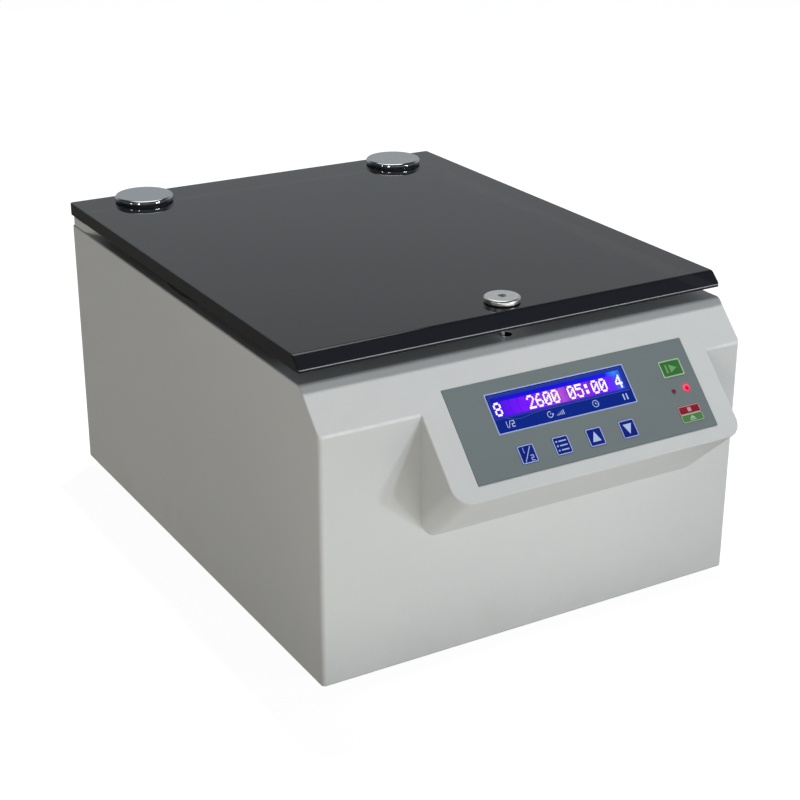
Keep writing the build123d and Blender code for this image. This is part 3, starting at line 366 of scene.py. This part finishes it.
PAINT = {
    "housing": shell, "base_plate": steel_z, "rubber_feet": foot_rub, "chassis_screws": screw_m, "chassis_posts": steel_b, "chamber_bowl": bowl_m,
    "lid_seal": rubber, "hinge_brackets": steel_b, "hinge_pins": screw_m, "rear_screws": screw_m, "latch_frame": steel_z, "latch_solenoid": core_m,
    "lid_switch": black_pl, "control_overlay": overlay_m, "lcd_window": lcd_m, "lcd_module": pcb_m, "status_leds": led_m, "keypad_board": pcb_m,
    "main_board": pcb_m, "drive_heatsink": heat_m, "transformer": core_m, "power_inlet": black_pl, "switch_bezel": black_pl, "motor_can": can_m,
    "motor_bearings": screw_m, "motor_stator": copper_m, "motor_mount_plate": steel_z, "mount_dampers": rubber, "shaft_boot": rubber,
    "lid_glass": glass, "hinge_caps": chrome, "lid_gaskets": rubber, "hinge_leaves": steel_b, "striker_disc": satin, "striker_pin": pin_m,
    "motor_shaft": shaft_m, "motor_magnet": core_m, "rotor_head": rotor_m, "rotor_knob": black_pl, "latch_bolt": steel_b, "fuse_drawer": black_pl,
    "power_rocker": black_pl, "key_program": key_blue, "key_select": key_blue, "key_up": key_blue, "key_down": key_blue, "key_start": key_green,
    "key_stop": key_red,
}
for i in range(1, 5):
    PAINT[f"slide_clip_{i}"] = clip_m
    PAINT[f"glass_slide_{i}"] = sl_m
    PAINT[f"sample_funnel_{i}"] = funnel_m
for name, o in NODES.items():
    m = PAINT[name].m
    if not o.material_slots:
        o.data.materials.append(m)
    for s in o.material_slots:
        s.material = m


# ------------------------------------------------------------------ mesh helpers
def new_object(name, bm, mat, body, matrix=None, smooth=30.0):
    bmesh.ops.recalc_face_normals(bm, faces=bm.faces)
    me = bpy.data.meshes.new(name)
    bm.to_mesh(me)
    bm.free()
    o = bpy.data.objects.new(name, me)
    scene.collection.objects.link(o)
    if matrix is not None:
        o.matrix_world = matrix
    me.materials.append(mat.m)
    if smooth:
        for p in me.polygons:
            p.use_smooth = True
        me.set_sharp_from_angle(angle=math.radians(smooth))
    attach(o, body)
    return o


def rounded(cx, cy, w, h, r, n=5):
    """Points of a rounded rectangle, anticlockwise."""
    pts = []
    for qx, qy, a0 in ((1, 1, 0), (-1, 1, 90), (-1, -1, 180), (1, -1, 270)):
        for i in range(n + 1):
            a = math.radians(a0 + 90 * i / n)
            pts.append((cx + qx * (w / 2 - r) + r * math.cos(a), cy + qy * (h / 2 - r) + r * math.sin(a)))
    return pts


def slab(bm, pts, z0, z1, bevel=0.0):
    """A closed plate over an outline; its upper edge is drawn in by bevel."""
    cx = sum(p[0] for p in pts) / len(pts)
    cy = sum(p[1] for p in pts) / len(pts)

    def level(z, inset):
        out = []
        n = len(pts)
        for i, p in enumerate(pts):
            a, b = Vector(pts[i - 1]), Vector(pts[(i + 1) % n])
            d = (b - a)
            nrm = Vector((d.y, -d.x)).normalized() if d.length > 0 else Vector((0, 0))
            if nrm.dot(Vector((p[0] - cx, p[1] - cy))) < 0:
                nrm = -nrm
            q = Vector(p) - nrm * inset
            out.append(bm.verts.new((q.x, q.y, z)))
        return out

    rings = [level(z0, 0)]
    if bevel:
        rings += [level(z1 - bevel, 0), level(z1 - bevel * 0.3, bevel * 0.3), level(z1, bevel)]
    else:
        rings.append(level(z1, 0))
    for a, b in zip(rings, rings[1:]):
        for i in range(len(a)):
            j = (i + 1) % len(a)
            bm.faces.new((a[i], a[j], b[j], b[i]))
    bm.faces.new(rings[-1])
    bm.faces.new(list(reversed(rings[0])))


def hollow(bm, outer, inner, z0, z1):
    """A closed flat frame between two outlines with as many points each."""
    o0 = [bm.verts.new((x, y, z0)) for x, y in outer]
    o1 = [bm.verts.new((x, y, z1)) for x, y in outer]
    i0 = [bm.verts.new((x, y, z0)) for x, y in inner]
    i1 = [bm.verts.new((x, y, z1)) for x, y in inner]
    n = len(outer)
    for i in range(n):
        j = (i + 1) % n
        bm.faces.new((o1[i], o1[j], i1[j], i1[i]))
        bm.faces.new((o0[j], o0[i], i0[i], i0[j]))
        bm.faces.new((o0[i], o0[j], o1[j], o1[i]))
        bm.faces.new((i0[j], i0[i], i1[i], i1[j]))


def arc(cx, cy, r, a0, a1, n=24):
    return [(cx + r * math.cos(math.radians(a0 + (a1 - a0) * i / n)), cy + r * math.sin(math.radians(a0 + (a1 - a0) * i / n))) for i in range(n + 1)]


def stroke(bm, pts, width, z0, z1):
    """A closed flat bar along a path of points."""
    left, right = [], []
    for i, p in enumerate(pts):
        a = Vector(pts[max(i - 1, 0)])
        b = Vector(pts[min(i + 1, len(pts) - 1)])
        d = (b - a).normalized()
        n = Vector((-d.y, d.x)) * width / 2
        left.append((p[0] + n.x, p[1] + n.y))
        right.append((p[0] - n.x, p[1] - n.y))
    quads = [bm.verts.new((x, y, z)) for z in (z0, z1) for x, y in left + right]
    k = len(pts)
    L0, R0, L1, R1 = quads[:k], quads[k:2 * k], quads[2 * k:3 * k], quads[3 * k:]
    for i in range(k - 1):
        bm.faces.new((L1[i], L1[i + 1], R1[i + 1], R1[i]))
        bm.faces.new((L0[i + 1], L0[i], R0[i], R0[i + 1]))
        bm.faces.new((L0[i], L0[i + 1], L1[i + 1], L1[i]))
        bm.faces.new((R0[i + 1], R0[i], R1[i], R1[i + 1]))
    bm.faces.new((L0[0], L1[0], R1[0], R0[0]))
    bm.faces.new((L1[-1], L0[-1], R0[-1], R1[-1]))


def P(x, s):
    """Console place in millimetres to the slope's own plane, in metres."""
    return (x * MM, -s * MM)


def rect(x0, x1, s0, s1, r, n=4):
    return rounded((x0 + x1) / 2 * MM, -(s0 + s1) / 2 * MM, (x1 - x0) * MM, (s1 - s0) * MM, r * MM, n)


# ------------------------------------------------------------------ display
WIN = (-41.4, 58.5, 29.9, 55.2)
N_FACE = 0.30                                   # overlay and window stand this far above the slope
bm = bmesh.new()
hollow(bm, rect(WIN[0] - 0.35, WIN[1] + 0.35, WIN[2] - 0.35, WIN[3] + 0.35, 0.6), rect(WIN[0] + 0.35, WIN[1] - 0.35, WIN[2] + 0.35, WIN[3] - 0.35, 0.4), (N_FACE - 0.02) * MM, (N_FACE + 0.05) * MM)
new_object("display_border", bm, print_light, "chassis", SLOPE)

# the viewing area, a slightly paler blue pane inside the window
view_m = Mat("display_pane")
vn = view_m.noise(55.0, 4.0, 0.65)
view_m.set(base=view_m.mix(vn, (0.010, 0.020, 0.17), (0.016, 0.030, 0.22)), rough=0.2, spec=0.3)
view_m.set(emit=view_m.mix(vn, (0.008, 0.016, 0.20), (0.016, 0.030, 0.27)), emit_s=0.6)
bm = bmesh.new()
slab(bm, rect(-40.2, 57.2, 31.0, 46.6, 0.5), (N_FACE - 0.02) * MM, (N_FACE + 0.03) * MM)
new_object("display_pane", bm, view_m, "chassis", SLOPE)

# the pane's lower edge shows as a faint line with a curl at its left end
bm = bmesh.new()
edge = [P(-33.4, 45.4), P(-32.0, 46.6), P(-29.5, 47.7), P(-26.5, 48.3), P(-23.0, 48.4), P(-19.0, 47.9), P(-15.0, 47.2), P(-11.0, 46.8), P(-6.0, 46.7)]
stroke(bm, edge + [P(57.0, 46.7)], 0.42 * MM, (N_FACE - 0.02) * MM, (N_FACE + 0.045) * MM)
stroke(bm, [P(-39.9, 31.2), P(56.9, 31.2)], 0.30 * MM, (N_FACE - 0.02) * MM, (N_FACE + 0.045) * MM)
new_object("display_pane_edge", bm, print_faint, "chassis", SLOPE, smooth=0)

# the lit band: saturated blue above, violet behind the digits, cyan at its right end
band_m = Mat("display_band")
bx_ = band_m.remap(band_m.axis(0), -0.0385, 0.055, 0.0, 1.0)
by_ = band_m.remap(band_m.axis(1), -0.0455, -0.0325, 0.0, 1.0)
low_c = band_m.ramp(bx_, [(0.0, (0.02, 0.006, 0.55)), (0.12, (0.07, 0.004, 0.80)), (0.30, (0.14, 0.004, 0.93)), (0.5, (0.16, 0.02, 0.72)),
                          (0.75, (0.11, 0.008, 0.85)), (0.90, (0.12, 0.006, 0.95)), (0.955, (0.03, 0.10, 0.95)), (1.0, (0.02, 0.04, 0.6))])
hi_c = band_m.ramp(bx_, [(0.0, (0.006, 0.012, 0.30)), (0.08, (0.004, 0.004, 0.62)), (0.4, (0.004, 0.002, 0.75)), (0.88, (0.004, 0.008, 0.88)),
                         (0.95, (0.03, 0.26, 1.0)), (1.0, (0.02, 0.10, 0.75))])
bn = band_m.noise(160.0, 2.0)
band = band_m.mix(band_m.remap(by_, 0.62, 0.80, 0.0, 1.0), low_c, hi_c)
band = band_m.mix(band_m.remap(bn, 0.35, 0.65, 0.0, 0.22), band, (0.01, 0.004, 0.42))
band_m.set(base=(0.004, 0.004, 0.02), rough=0.14, emit=band, emit_s=1.0)
bm = bmesh.new()
slab(bm, rect(-38.9, 54.6, 32.9, 45.4, 0.3), (N_FACE + 0.02) * MM, (N_FACE + 0.05) * MM)
new_object("display_band", bm, band_m, "chassis", SLOPE)

# sixteen character cells, a touch brighter than the gaps between them
cell_m = Mat("display_cells")
cx_ = cell_m.remap(cell_m.axis(0), -0.0385, 0.054, 0.0, 1.0)
cell_c = cell_m.ramp(cx_, [(0.0, (0.03, 0.006, 0.62)), (0.10, (0.12, 0.004, 0.86)), (0.25, (0.22, 0.005, 1.0)), (0.40, (0.30, 0.03, 0.80)), (0.50, (0.50, 0.09, 0.66)),
                           (0.58, (0.30, 0.035, 0.66)), (0.72, (0.24, 0.02, 0.78)), (0.84, (0.24, 0.004, 1.0)), (0.93, (0.10, 0.03, 0.95)), (1.0, (0.03, 0.16, 1.0))])
cn = cell_m.noise(300.0, 2.0)
cell_m.set(base=(0.004, 0.004, 0.02), rough=0.16, emit=cell_m.mix(cell_m.remap(cn, 0.4, 0.7, 0.0, 0.14), cell_c, (0.02, 0.004, 0.6)), emit_s=1.0)
PITCH, X0C = 5.83, -38.9
bm = bmesh.new()
for k in range(16):
    x = X0C + k * PITCH
    slab(bm, rect(x + 0.25, x + PITCH - 0.25, 35.6, 45.0, 0.15, 2), (N_FACE + 0.04) * MM, (N_FACE + 0.07) * MM)
new_object("display_cells", bm, cell_m, "chassis", SLOPE, smooth=0)

FONT5X7 = {
    "0": ("01110", "10001", "10011", "10101", "11001", "10001", "01110"),
    "1": ("00100", "01100", "00100", "00100", "00100", "00100", "01110"),
    "2": ("01110", "10001", "00001", "00010", "00100", "01000", "11111"),
    "4": ("00010", "00110", "01010", "10010", "11111", "00010", "00010"),
    "5": ("11111", "10000", "11110", "00001", "00001", "10001", "01110"),
    "6": ("00110", "01000", "10000", "11110", "10001", "10001", "01110"),
    "8": ("01110", "10001", "10001", "01110", "10001", "10001", "01110"),
    ":": ("00000", "01100", "01100", "00000", "01100", "01100", "00000"),
}
TEXT = "8   2600 05:00 4"
dot_m = glow("display_digits", (0.97, 0.94, 1.0), 1.15, rough=0.3, c1=(0.90, 0.85, 1.0), scale=1400.0)
bm = bmesh.new()
for k, chr_ in enumerate(TEXT):
    if chr_ == " ":
        continue
    for r, row in enumerate(FONT5X7[chr_]):
        for c, bit in enumerate(row):
            if bit == "1":
                x = X0C + k * PITCH + 0.50 + c * 0.97
                s = 35.9 + r * 1.22
                slab(bm, rect(x - 0.06, x + 1.03, s - 0.05, s + 1.27, 0.25, 2), (N_FACE + 0.06) * MM, (N_FACE + 0.10) * MM)
new_object("display_digits", bm, dot_m, "chassis", SLOPE, smooth=0)

# small generic signs under the digits: a numbered slot, a turning arrow, a clock, two bars
bm = bmesh.new()
Z0L, Z1L = (N_FACE - 0.02) * MM, (N_FACE + 0.035) * MM


def tiny_digit(bm, chr_, x, s, w, h, z0, z1):
    """A seven-segment numeral."""
    segs = {"1": "bc", "2": "abged", "3": "abgcd", "4": "fgbc"}[chr_]
    t = w * 0.30
    pts = {"a": ((0, 0), (w, 0)), "b": ((w, 0), (w, h / 2)), "c": ((w, h / 2), (w, h)), "d": ((0, h), (w, h)), "e": ((0, h / 2), (0, h)), "f": ((0, 0), (0, h / 2)), "g": ((0, h / 2), (w, h / 2))}
    for g in segs:
        (ax, ay), (bx2, by2) = pts[g]
        if ax == bx2:
            slab(bm, rect(x + ax - t / 2, x + ax + t / 2, s + ay - t / 2, s + by2 + t / 2, t * 0.3, 2), z0, z1)
        else:
            slab(bm, rect(x + ax - t / 2, x + bx2 + t / 2, s + ay - t / 2, s + ay + t / 2, t * 0.3, 2), z0, z1 + 0.000002)


tiny_digit(bm, "1", -35.8, 48.6, 1.7, 3.6, Z0L, Z1L)
stroke(bm, [P(-33.2, 52.6), P(-31.4, 48.2)], 0.42 * MM, Z0L, Z1L)
tiny_digit(bm, "2", -30.6, 48.6, 1.7, 3.6, Z0L, Z1L)
stroke(bm, arc(-0.0035, -0.0504, 0.00185, 60, 345, 28), 0.45 * MM, Z0L, Z1L)
slab(bm, [P(-1.0, 49.9), P(-2.5, 50.3), P(-1.3, 51.4)], Z0L, Z1L)
stroke(bm, [P(-3.5, 50.4), P(-2.7, 49.6)], 0.35 * MM, Z0L, Z1L)
for q in range(5):
    stroke(bm, [P(1.2 + q * 1.2, 52.2), P(1.2 + q * 1.2, 51.4 - q * 0.55)], 0.5 * MM, Z0L, Z1L)
stroke(bm, arc(0.0296, -0.0504, 0.0021, 0, 360, 36), 0.42 * MM, Z0L, Z1L)
stroke(bm, [P(29.6, 50.4), P(29.6, 49.1)], 0.4 * MM, Z0L, Z1L)
stroke(bm, [P(29.6, 50.4), P(30.7, 50.9)], 0.4 * MM, Z0L, Z1L)
for x in (50.2, 52.6):
    slab(bm, rect(x, x + 1.0, 48.5, 52.4, 0.2, 2), Z0L, Z1L)
new_object("display_signs", bm, print_white, "chassis", SLOPE, smooth=0)

# ------------------------------------------------------------------ keys
TOP = 0.45
KEYS = {
    "key_program": (-28.5, 70.4, 11.6, 11.8, print_light),
    "key_select": (-3.9, 70.4, 11.6, 11.8, print_light),
    "key_up": (20.2, 70.4, 11.6, 11.8, print_light),
    "key_down": (44.6, 70.4, 11.6, 11.8, print_light),
    "key_start": (92.4, 39.6, 16.6, 11.6, print_green),
}
ZK0, ZK1 = (TOP - 0.03) * MM, (TOP + 0.045) * MM
for name, (kx, ks, kw, kh, pm) in KEYS.items():
    bm = bmesh.new()
    w0, w1 = (0.16, 1.02) if pm is print_green else (0.22, 0.84)
    o = rect(kx - kw / 2 + w0, kx + kw / 2 - w0, ks - kh / 2 + w0, ks + kh / 2 - w0, 1.0)
    i = rect(kx - kw / 2 + w1, kx + kw / 2 - w1, ks - kh / 2 + w1, ks + kh / 2 - w1, 0.5)
    hollow(bm, o, i, ZK0, ZK1)
    new_object(name + "_border", bm, pm, name, SLOPE)

bm = bmesh.new()
tiny_digit(bm, "1", -32.0, 66.3, 1.5, 3.1, ZK0, ZK1)
tiny_digit(bm, "2", -27.0, 71.6, 1.7, 3.1, ZK0, ZK1)
stroke(bm, [P(-31.6, 75.0), P(-25.4, 66.0)], 0.55 * MM, ZK0, ZK1)
new_object("key_program_sign", bm, print_light, "key_program", SLOPE, smooth=0)
bm = bmesh.new()
for q, s in enumerate((67.6, 70.4, 73.2)):
    slab(bm, rect(-5.6, -0.2, s - 0.42, s + 0.42, 0.15, 2), ZK0, ZK1)
    slab(bm, rect(-7.7, -6.6, s - 0.55, s + 0.55, 0.3, 3), ZK0, ZK1)
new_object("key_select_sign", bm, print_light, "key_select", SLOPE, smooth=0)
bm = bmesh.new()
slab(bm, [P(20.2, 66.9), P(23.3, 73.3), P(17.1, 73.3)], ZK0, ZK1)
new_object("key_up_sign", bm, print_white, "key_up", SLOPE, smooth=0)
bm = bmesh.new()
slab(bm, [P(44.6, 73.9), P(41.5, 67.3), P(47.7, 67.3)], ZK0, ZK1)
new_object("key_down_sign", bm, print_white, "key_down", SLOPE, smooth=0)
bm = bmesh.new()
slab(bm, [P(91.0, 36.8), P(96.4, 39.6), P(91.0, 42.4)], ZK0, ZK1)
slab(bm, rect(88.0, 89.3, 36.8, 42.4, 0.2, 2), ZK0, ZK1)
new_object("key_start_sign", bm, print_green2, "key_start", SLOPE, smooth=0)

# the film closes round each key with a thin skirt
for name, (kx, ks, kw, kh) in {**{k: v[:4] for k, v in KEYS.items()}, "key_stop": (92.4, 70.6, 16.6, 11.2)}.items():
    bm = bmesh.new()
    hollow(bm, rect(kx - kw / 2 - 0.31, kx + kw / 2 + 0.31, ks - kh / 2 - 0.31, ks + kh / 2 + 0.31, 1.5, 6), rect(kx - kw / 2 - 0.02, kx + kw / 2 + 0.02, ks - kh / 2 - 0.02, ks + kh / 2 + 0.02, 1.2, 6), (N_FACE - 0.10) * MM, N_FACE * MM)
    new_object(name + "_skirt", bm, overlay_m, "chassis", SLOPE)

# painted glow: the lit indicator's red light is painted into the film's colour round it
halo_m = Mat("film_halo")
hx = halo_m.math("SUBTRACT", halo_m.axis(0), 0.0971)
hy = halo_m.math("SUBTRACT", halo_m.axis(1), -0.0539)
h_r = halo_m.radius(hx, hy)
h_n = halo_m.noise(1500.0, 2.0)
halo_c = halo_m.ramp(halo_m.remap(h_r, 0.0022, 0.0044, 0.0, 1.0), [(0.0, (0.66, 0.11, 0.16)), (0.25, (0.44, 0.13, 0.17)), (0.6, (0.25, 0.165, 0.18)), (1.0, (0.163, 0.193, 0.197))])
halo_m.set(base=halo_m.mix(halo_m.remap(h_n, 0.3, 0.7, 0.0, 0.12), halo_c, (0.15, 0.18, 0.185)), rough=halo_m.remap(h_n, 0.3, 0.7, 0.44, 0.54), spec=0.35)
bm = bmesh.new()
ring_o = arc(0.0971, -0.0539, 0.0044, 0, 352.5, 47)
ring_i = arc(0.0971, -0.0539, 0.00236, 0, 352.5, 47)
hollow(bm, ring_o, ring_i, (N_FACE - 0.03) * MM, (N_FACE + 0.004) * MM)
new_object("indicator_halo", bm, halo_m, "chassis", SLOPE)

# the last key: a red half over a green half, each in its own light border
kx, ks, kw, kh = 92.4, 70.6, 16.6, 11.2
bm = bmesh.new()
slab(bm, rect(kx - kw / 2 + 0.5, kx + kw / 2 - 0.5, ks + 0.1, ks + kh / 2 - 0.5, 0.3), (TOP - 0.05) * MM, (TOP + 0.02) * MM)
new_object("key_stop_lower", bm, key_green2, "key_stop", SLOPE)
bm = bmesh.new()
hollow(bm, rect(kx - kw / 2 + 0.22, kx + kw / 2 - 0.22, ks - kh / 2 + 0.22, ks + 0.05, 0.9), rect(kx - kw / 2 + 0.68, kx + kw / 2 - 0.68, ks - kh / 2 + 0.68, ks - 0.40, 0.22), ZK0, ZK1)
slab(bm, rect(kx - 1.35, kx + 1.35, ks - 4.15, ks - 1.45, 0.15, 2), ZK0, ZK1)
new_object("key_stop_sign", bm, print_red, "key_stop", SLOPE, smooth=0)
bm = bmesh.new()
hollow(bm, rect(kx - kw / 2 + 0.22, kx + kw / 2 - 0.22, ks + 0.05, ks + kh / 2 - 0.22, 0.9), rect(kx - kw / 2 + 0.68, kx + kw / 2 - 0.68, ks + 0.50, ks + kh / 2 - 0.68, 0.22), ZK0, ZK1)
slab(bm, [P(kx, ks + 1.2), P(kx + 2.3, ks + 3.2), P(kx - 2.3, ks + 3.2)], ZK0, ZK1)
slab(bm, rect(kx - 2.3, kx + 2.3, ks + 3.6, ks + 4.25, 0.1, 2), ZK0, ZK1)
new_object("key_open_sign", bm, print_green, "key_stop", SLOPE, smooth=0)

# ------------------------------------------------------------------ painted shade: a black sleeve in the hole for the switch's thin pin darkens the hole
bm = bmesh.new()
hollow(bm, arc(-0.0056, 0.0338 - YC, 0.00396, 0, 352.5, 47), arc(-0.0056, 0.0338 - YC, 0.00366, 0, 352.5, 47), 0.1807 + FOOT, 0.18448 + FOOT)
new_object("switch_hole_shade_sleeve", bm, rubber, "chassis")

# ------------------------------------------------------------------ rotor: plain station numbers
BC = Vector((0.0, 0.203 - YC, 0.098 + FOOT))
for i in range(4):
    a = math.radians(45 + 90 * i)
    cu = bpy.data.curves.new(f"rotor_number_{i + 1}", "FONT")
    cu.body = str(i + 1)
    cu.size = 0.011
    cu.align_x = "CENTER"
    cu.align_y = "CENTER"
    cu.extrude = 0.00012
    tmp = bpy.data.objects.new(f"tmp_number_{i}", cu)
    scene.collection.objects.link(tmp)
    tmp.matrix_world = Matrix.Translation(BC + Vector((0.052 * math.cos(a), 0.052 * math.sin(a), 0.0001))) @ Matrix.Rotation(a + math.pi / 2, 4, "Z")
    bpy.context.view_layer.update()
    dg = bpy.context.evaluated_depsgraph_get()
    me = bpy.data.meshes.new_from_object(tmp.evaluated_get(dg))
    me.transform(tmp.matrix_world)
    bpy.data.objects.remove(tmp)
    o = bpy.data.objects.new(f"rotor_number_{i + 1}", me)
    scene.collection.objects.link(o)
    me.materials.clear()
    me.materials.append(print_dark.m)
    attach(o, "rotor")

# ------------------------------------------------------------------ stage, light, camera
floor_m = Mat("stage_floor")
fl = floor_m.noise(0.8, 3.0)
floor_m.set(base=floor_m.mix(fl, (0.15, 0.15, 0.15), (0.165, 0.165, 0.165)), rough=0.8, spec=0.05, emit=(1.0, 1.0, 1.0), emit_s=0.95)
bm = bmesh.new()
bmesh.ops.create_grid(bm, x_segments=1, y_segments=1, size=9.0)
me = bpy.data.meshes.new("stage_floor")
bm.to_mesh(me)
bm.free()
floor = bpy.data.objects.new("stage_floor", me)
scene.collection.objects.link(floor)
me.materials.append(floor_m.m)
floor.visible_diffuse = False
floor.visible_glossy = False

# the studio round the object: a pale table below, a dim ceiling, a pale wall behind and to the right
world = bpy.data.worlds.new("studio")
scene.world = world
world.use_nodes = True
wt = world.node_tree
wt.nodes.clear()


def wn(kind, **inputs):
    n = wt.nodes.new(kind)
    for k, v in inputs.items():
        if k == "op":
            n.operation = v
    return n


def w_in(n, i, v):
    if isinstance(v, (int, float)):
        n.inputs[i].default_value = v
    elif isinstance(v, tuple):
        n.inputs[i].default_value = v
    else:
        wt.links.new(v, n.inputs[i])


def w_math(op, a, b):
    n = wn("ShaderNodeMath", op=op)
    w_in(n, 0, a)
    w_in(n, 1, b)
    return n.outputs[0]


def w_map(v, a, b, c, d):
    n = wn("ShaderNodeMapRange")
    n.interpolation_type = "SMOOTHSTEP"
    for i, x in zip(range(5), (v, a, b, c, d)):
        w_in(n, i, x)
    return n.outputs[0]


w_dir = wn("ShaderNodeTexCoord").outputs["Generated"]
w_sep = wn("ShaderNodeSeparateXYZ")
w_in(w_sep, 0, w_dir)
WX, WY, WZ = w_sep.outputs
away = w_math("ADD", w_math("MULTIPLY", WX, 0.56), w_math("MULTIPLY", WY, 0.83))
wall = w_math("MULTIPLY", w_map(away, 0.15, 0.80, 0.0, 1.0), w_map(WZ, 0.42, 0.72, 1.0, 0.0))
ahead = w_math("MULTIPLY", w_map(WY, -0.70, -0.20, 1.0, 0.0), w_map(WZ, 0.12, 0.40, 1.0, 0.0))
upper = w_math("ADD", w_math("ADD", w_math("MULTIPLY", wall, 0.395), w_math("MULTIPLY", ahead, 0.17)), 0.055)
lower = w_math("MINIMUM", w_map(WZ, -0.75, -0.37, 0.06, 1.24), w_map(WZ, -0.25, 0.0, 1.24, 0.42))
west = w_math("SUBTRACT", w_math("MULTIPLY", WY, 0.8), w_math("MULTIPLY", WX, 0.6))
lower = w_math("MULTIPLY", lower, w_map(west, -0.60, 0.20, 1.0, 0.52))
below = w_map(WZ, -0.03, 0.03, 1.0, 0.0)
w_up = wn("ShaderNodeVectorMath", op="SCALE")
w_in(w_up, 0, (0.92, 0.965, 1.0))
w_in(w_up, 3, upper)
w_lo = wn("ShaderNodeVectorMath", op="SCALE")
w_in(w_lo, 0, (1.0, 0.98, 0.905))
w_in(w_lo, 3, lower)
w_mix = wn("ShaderNodeMix")
w_mix.data_type = "VECTOR"
w_in(w_mix, 0, below)
w_in(w_mix, 4, w_up.outputs[0])
w_in(w_mix, 5, w_lo.outputs[0])
w_bg = wn("ShaderNodeBackground")
w_in(w_bg, 0, w_mix.outputs[1])
w_white = wn("ShaderNodeBackground")
w_in(w_white, 0, (1.0, 1.0, 1.0, 1.0))
w_lp = wn("ShaderNodeLightPath")
w_sh = wn("ShaderNodeMixShader")
w_in(w_sh, 0, w_lp.outputs["Is Camera Ray"])
w_in(w_sh, 1, w_bg.outputs[0])
w_in(w_sh, 2, w_white.outputs[0])
w_out = wn("ShaderNodeOutputWorld")
w_in(w_out, 0, w_sh.outputs[0])


def softbox(name, direction, distance, size, power, colour=(1, 1, 1), centre=(0.0, -0.03, 0.13)):
    """A square soft lamp in a given direction from the object."""
    d = bpy.data.lights.new(name, "AREA")
    d.shape = "SQUARE"
    d.size = size
    d.energy = power * distance * distance
    d.color = colour
    o = bpy.data.objects.new(name, d)
    scene.collection.objects.link(o)
    v = Vector(direction).normalized()
    o.location = Vector(centre) + v * distance
    o.rotation_euler = (-v).to_track_quat("-Z", "Y").to_euler()
    return o


top_a = softbox("light_top", (0.08, 0.234, 0.93), 1.6, 0.10, 11.2, (1.0, 0.995, 0.98))
top_a.visible_glossy = False                     # the glass and the caps mirror the broad panel instead
top_b = softbox("light_top_panel", (0.08, 0.300, 0.93), 1.4, 1.00, 3.4, (0.985, 1.0, 0.98))
top_b.visible_diffuse = False
softbox("light_front_a", (0.42, -0.88, 0.18), 2.4, 0.20, 1.80, (0.84, 0.92, 1.0))
softbox("light_front_b", (0.56, -0.79, 0.16), 2.4, 0.20, 1.80, (0.84, 0.92, 1.0))
softbox("light_left", (-0.975, -0.13, 0.18), 1.9, 0.13, 0.40, (1.0, 0.985, 0.95))
softbox("light_corner", (-0.76, -0.64, 0.12), 2.1, 0.20, 0.85, (1.0, 0.985, 0.955))

# the lit table in front of the part throws light back up; it starts beyond the part's own shadow
bounce_d = bpy.data.lights.new("light_table", "AREA")
bounce_d.shape = "RECTANGLE"
bounce_d.size, bounce_d.size_y = 1.75, 1.10
bounce_d.energy = 3.2
bounce_d.color = (1.0, 0.985, 0.92)
bounce = bpy.data.objects.new("light_table", bounce_d)
scene.collection.objects.link(bounce)
bounce.location = (-0.72, -0.224 - 1.10 / 2, 0.003)
bounce.rotation_euler = (math.pi, 0, 0)
bounce.visible_camera = False

cam_d = bpy.data.cameras.new("camera")
cam = bpy.data.objects.new("camera", cam_d)
scene.collection.objects.link(cam)
scene.camera = cam
PITCH_C, YAW_C, ROLL_C = 0.3954, 0.5304, 0.0022
fwd = Vector((math.sin(YAW_C) * math.cos(PITCH_C), math.cos(YAW_C) * math.cos(PITCH_C), -math.sin(PITCH_C)))
right = Vector((math.cos(YAW_C), -math.sin(YAW_C), 0.0))
upv = right.cross(fwd)
r2 = right * math.cos(ROLL_C) + upv * math.sin(ROLL_C)
u2 = -right * math.sin(ROLL_C) + upv * math.cos(ROLL_C)
loc = Vector((-0.5439644, -0.7583589 - YC, 0.5401396 + FOOT))
cam.matrix_world = Matrix((
    (r2.x, u2.x, -fwd.x, loc.x),
    (r2.y, u2.y, -fwd.y, loc.y),
    (r2.z, u2.z, -fwd.z, loc.z),
    (0, 0, 0, 1),
))
cam_d.sensor_fit = "HORIZONTAL"
cam_d.sensor_width = 36.0
cam_d.lens = 1689.2329 / 800 * 36.0
cam_d.clip_start = 0.02
cam_d.clip_end = 60.0
scene.view_settings.view_transform = "Standard"
scene.view_settings.look = "None"
scene.view_settings.exposure = 0.0
